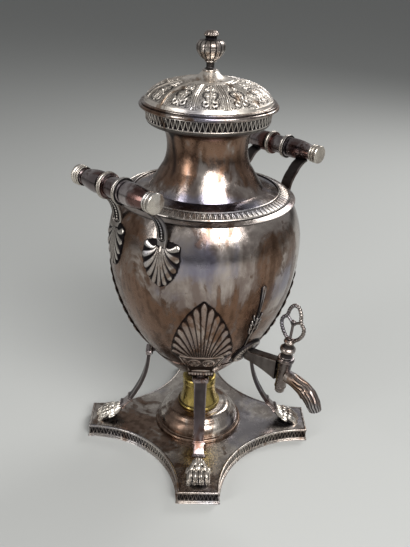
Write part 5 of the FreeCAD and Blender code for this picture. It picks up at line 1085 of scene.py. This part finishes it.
plug_line = outline((0.0, 16.4), (4.85, 16.4), (4.9, 18.95), (5.8, 18.95), (5.2, 22.0, 6.3, 25.2),
                    (7.0, 25.9), (7.3, 27.4, 6.9, 28.9), (5.2, 30.0), (4.5, 31.4, 4.3, 33.8), (4.5, 34.9),
                    (5.3, 35.9, 4.6, 36.9), (3.4, 38.0), (0.0, 38.0), count=8)
plug_high = banded(plug_line[:, 1], 0.22, (19.5, 25.0), (29.5, 34.5))
foot_line = outline((0.0, -22.6), (3.4, -21.9), (4.5, -20.6), (4.65, -19.0), (4.5, -17.75), (0.0, -17.75))
piece("tap_plug_and_neck", moved([turned(plug_line, plug_high, columns=64)], on_tap), ornament,
      body="tap_valve", instead=["tap_plug"])
piece("tap_foot_nut", moved([turned(foot_line, 0.6, columns=48)], on_tap), tap_plate, body="tap_valve",
      instead=["tap_nut"])


def smooth_loop(spots, count):
    """A closed curve through a few spots: between two it is the cubic that also leans to their neighbours."""
    spots = np.asarray(spots, float)
    share = np.linspace(0, 1, count, endpoint=False)[None, :, None]
    before, here, after, last = (np.roll(spots, k, 0)[:, None] for k in (1, 0, -1, -2))
    curve = here + 0.5 * share * (after - before + share * (2 * before - 5 * here + 4 * after - last
                                                            + share * (3 * (here - after) + last - before)))
    return curve.reshape(-1, 2)


def wire(path, radius, closed, beads=0.0):
    """A round wire along a flat path of (x, z) points; beads swell it every 2.6 mm or so."""
    steps = np.linalg.norm(np.roll(path, -1, 0) - path, axis=1)
    run = np.concatenate([[0], np.cumsum(steps)[:-1]])
    total = steps.sum() if closed else run[-1]
    swell = 1 + beads * (np.abs(np.sin(math.pi * run / (total / max(1, round(total / 2.6))))) ** 0.7 - 0.5)
    turn = circle(12)
    girth = (radius * swell)[:, None]
    spots = beside(path, heading(path, closed), girth * np.cos(turn), -girth * np.sin(turn))
    high = unit(0.35 + 0.65 * (swell[:, None] - 0.75) * 2) if beads else np.full(girth.shape, 0.8)
    return (spots, "rc", high) if closed else (capped(spots), "c", ended(high))


def lump(level, half):
    """An oval boss at a level of the barrel's axis, by its half sizes along, across and up."""
    up = np.linspace(0.02, math.pi - 0.02, 12)[:, None]
    turn = circle(14)
    spots = np.dstack(np.broadcast_arrays(-half[0] * np.cos(up), -half[1] * np.sin(up) * np.cos(turn),
                                          level + half[2] * np.sin(up) * np.sin(turn)))
    # Painted shade: each boss keeps the metal's tone on top and darkens to black towards its underside.
    return spots, "c", np.clip(0.42 + 0.75 * np.sin(turn) * np.sin(up) ** 0.5, 0.06, 1.0)


KEY_HALF, KEY_RISE, KEY_FOOT = 13.4, 37.0, 38.4
key_half = [(0.34, 0.02), (0.84, 0.24), (0.9, 0.45), (0.58, 0.6), (0.46, 0.8), (0.17, 0.95)]
key_edge = np.array(key_half + [(-x, z) for x, z in key_half[::-1]]) * [KEY_HALF, KEY_RISE] + [0, KEY_FOOT]
key_fork = np.array([(0.52, 0.58), (0.2, 0.5), (0.0, 0.4), (0.0, 0.2), (0.0, 0.02)])
key_fork = key_fork * [KEY_HALF, KEY_RISE] + [0, KEY_FOOT]
key_sheets = [wire(smooth_loop(key_edge, 14), 1.55, True, 0.45)]
key_sheets += [wire(evenly(key_fork * [mirror, 1], 30)[0], 1.3, False) for mirror in (1, -1)]
key_sheets += [lump(KEY_FOOT + KEY_RISE * 0.96, (2.3, 1.7, 1.9)),
               lump(KEY_FOOT + KEY_RISE * 0.5, (2.6, 1.8, 2.2)), lump(KEY_FOOT + 0.5, (4.3, 2.2, 1.2))]
piece("tap_openwork_key", moved(key_sheets, on_tap), tap_plate, body="tap_valve", instead=["tap_key"],
      sharp=60)

# Narrow ornament beside the tap: a stem that rises into a calyx of small leaves and one long veined leaf,
# cast thin and soldered to the bowl.
sprig_sheets = [lobe((0.3, 141.2), (-1.6, 152.0), (-0.4, 168.0), 2.2, 2.6, 0.1, 2.0),
                lobe((0.0, 179.0), (1.2, 196.0), (0.2, 213.6), 2.6, 7.4, 0.1, 1.9),
                lobe((0.0, 181.0), (0.9, 196.0), (0.2, 211.0), 1.0, 1.6, 1.2, 2.5)]
for level, reach, lift in ((158.0, 4.8, 9.0), (164.0, 5.0, 8.0), (169.5, 5.0, 7.0), (175.0, 4.6, 8.0)):
    for mirror in (1, -1):
        bend, tip = (mirror * reach * 0.9, level + 1.0), (mirror * reach, level + lift)
        sprig_sheets.append(lobe((0.0, level), bend, tip, 1.4, 3.0, 0.1, 1.8))
sprig_sheets.append(lobe((0.0, 166.0), (0.0, 172.0), (0.0, 179.0), 3.0, 4.6, 0.4, 2.2))
piece("sprig", moved(sprig_sheets, spun_to, 260), ornament, instead=["leaf_ornament"],
      sharp=70)

# Studio. A pale floor, soft lamps and the camera at the photograph's angle.
floor_finish, _, floor_shader = finish_named("pale_floor")
floor_shader["Base Color"].default_value = (0.48, 0.485, 0.468, 1.0)
floor_shader["Roughness"].default_value = 0.85
floor_mesh = bpy.data.meshes.new("floor")
floor_mesh.from_pydata([(-30, -30, 0), (30, -30, 0), (30, 30, 0), (-30, 30, 0)], [], [(0, 1, 2, 3)])
floor_mesh.materials.append(floor_finish)
floor = shown("floor", floor_mesh)

world = bpy.data.worlds.new("studio")
world.use_nodes = True
bpy.context.scene.world = world
sky = Wire(world.node_tree)
seen = (sky.add("LightPath", out=0) + sky.add("LightPath", out=3)).between(0.0, 1.0)
sky_tone = seen.mixed((0.17, 0.173, 0.176), (0.30, 0.304, 0.308))
sky_tone.feed(world.node_tree.nodes["Background"].inputs["Color"])

for name, spot, width, tall, power in (("key", (-0.55, -1.25, 1.25), 1.15, 0.9, 36.0),
                                       ("side", (-1.5, 0.25, 0.75), 0.35, 1.1, 8.0),
                                       ("back", (1.35, 0.05, 1.25), 0.6, 0.8, 14.0)):
    lamp_data = bpy.data.lights.new(name, "AREA")
    lamp_data.shape = "RECTANGLE"
    lamp_data.size, lamp_data.size_y, lamp_data.energy = width, tall, power
    lamp = shown(name, lamp_data)
    lamp.location = spot
    lamp.rotation_euler = (Vector((0, 0, 0.2)) - Vector(spot)).to_track_quat("-Z", "Y").to_euler()

camera_data = bpy.data.cameras.new("camera")
camera_data.lens = 45.15
camera_data.sensor_width = 36.0
camera_data.shift_x = 2 / 547
camera = shown("camera", camera_data)
eye = Vector((-0.4410, -0.4214, 0.4833))
aim = (Vector((0, 0, 0.1875)) - eye).to_track_quat("-Z", "Y").to_matrix().to_4x4()
camera.matrix_world = Matrix.Translation(eye) @ aim @ Matrix.Rotation(math.radians(2.02), 4, "Z")
bpy.context.scene.camera = camera
bpy.context.scene.view_settings.view_transform = "Standard"
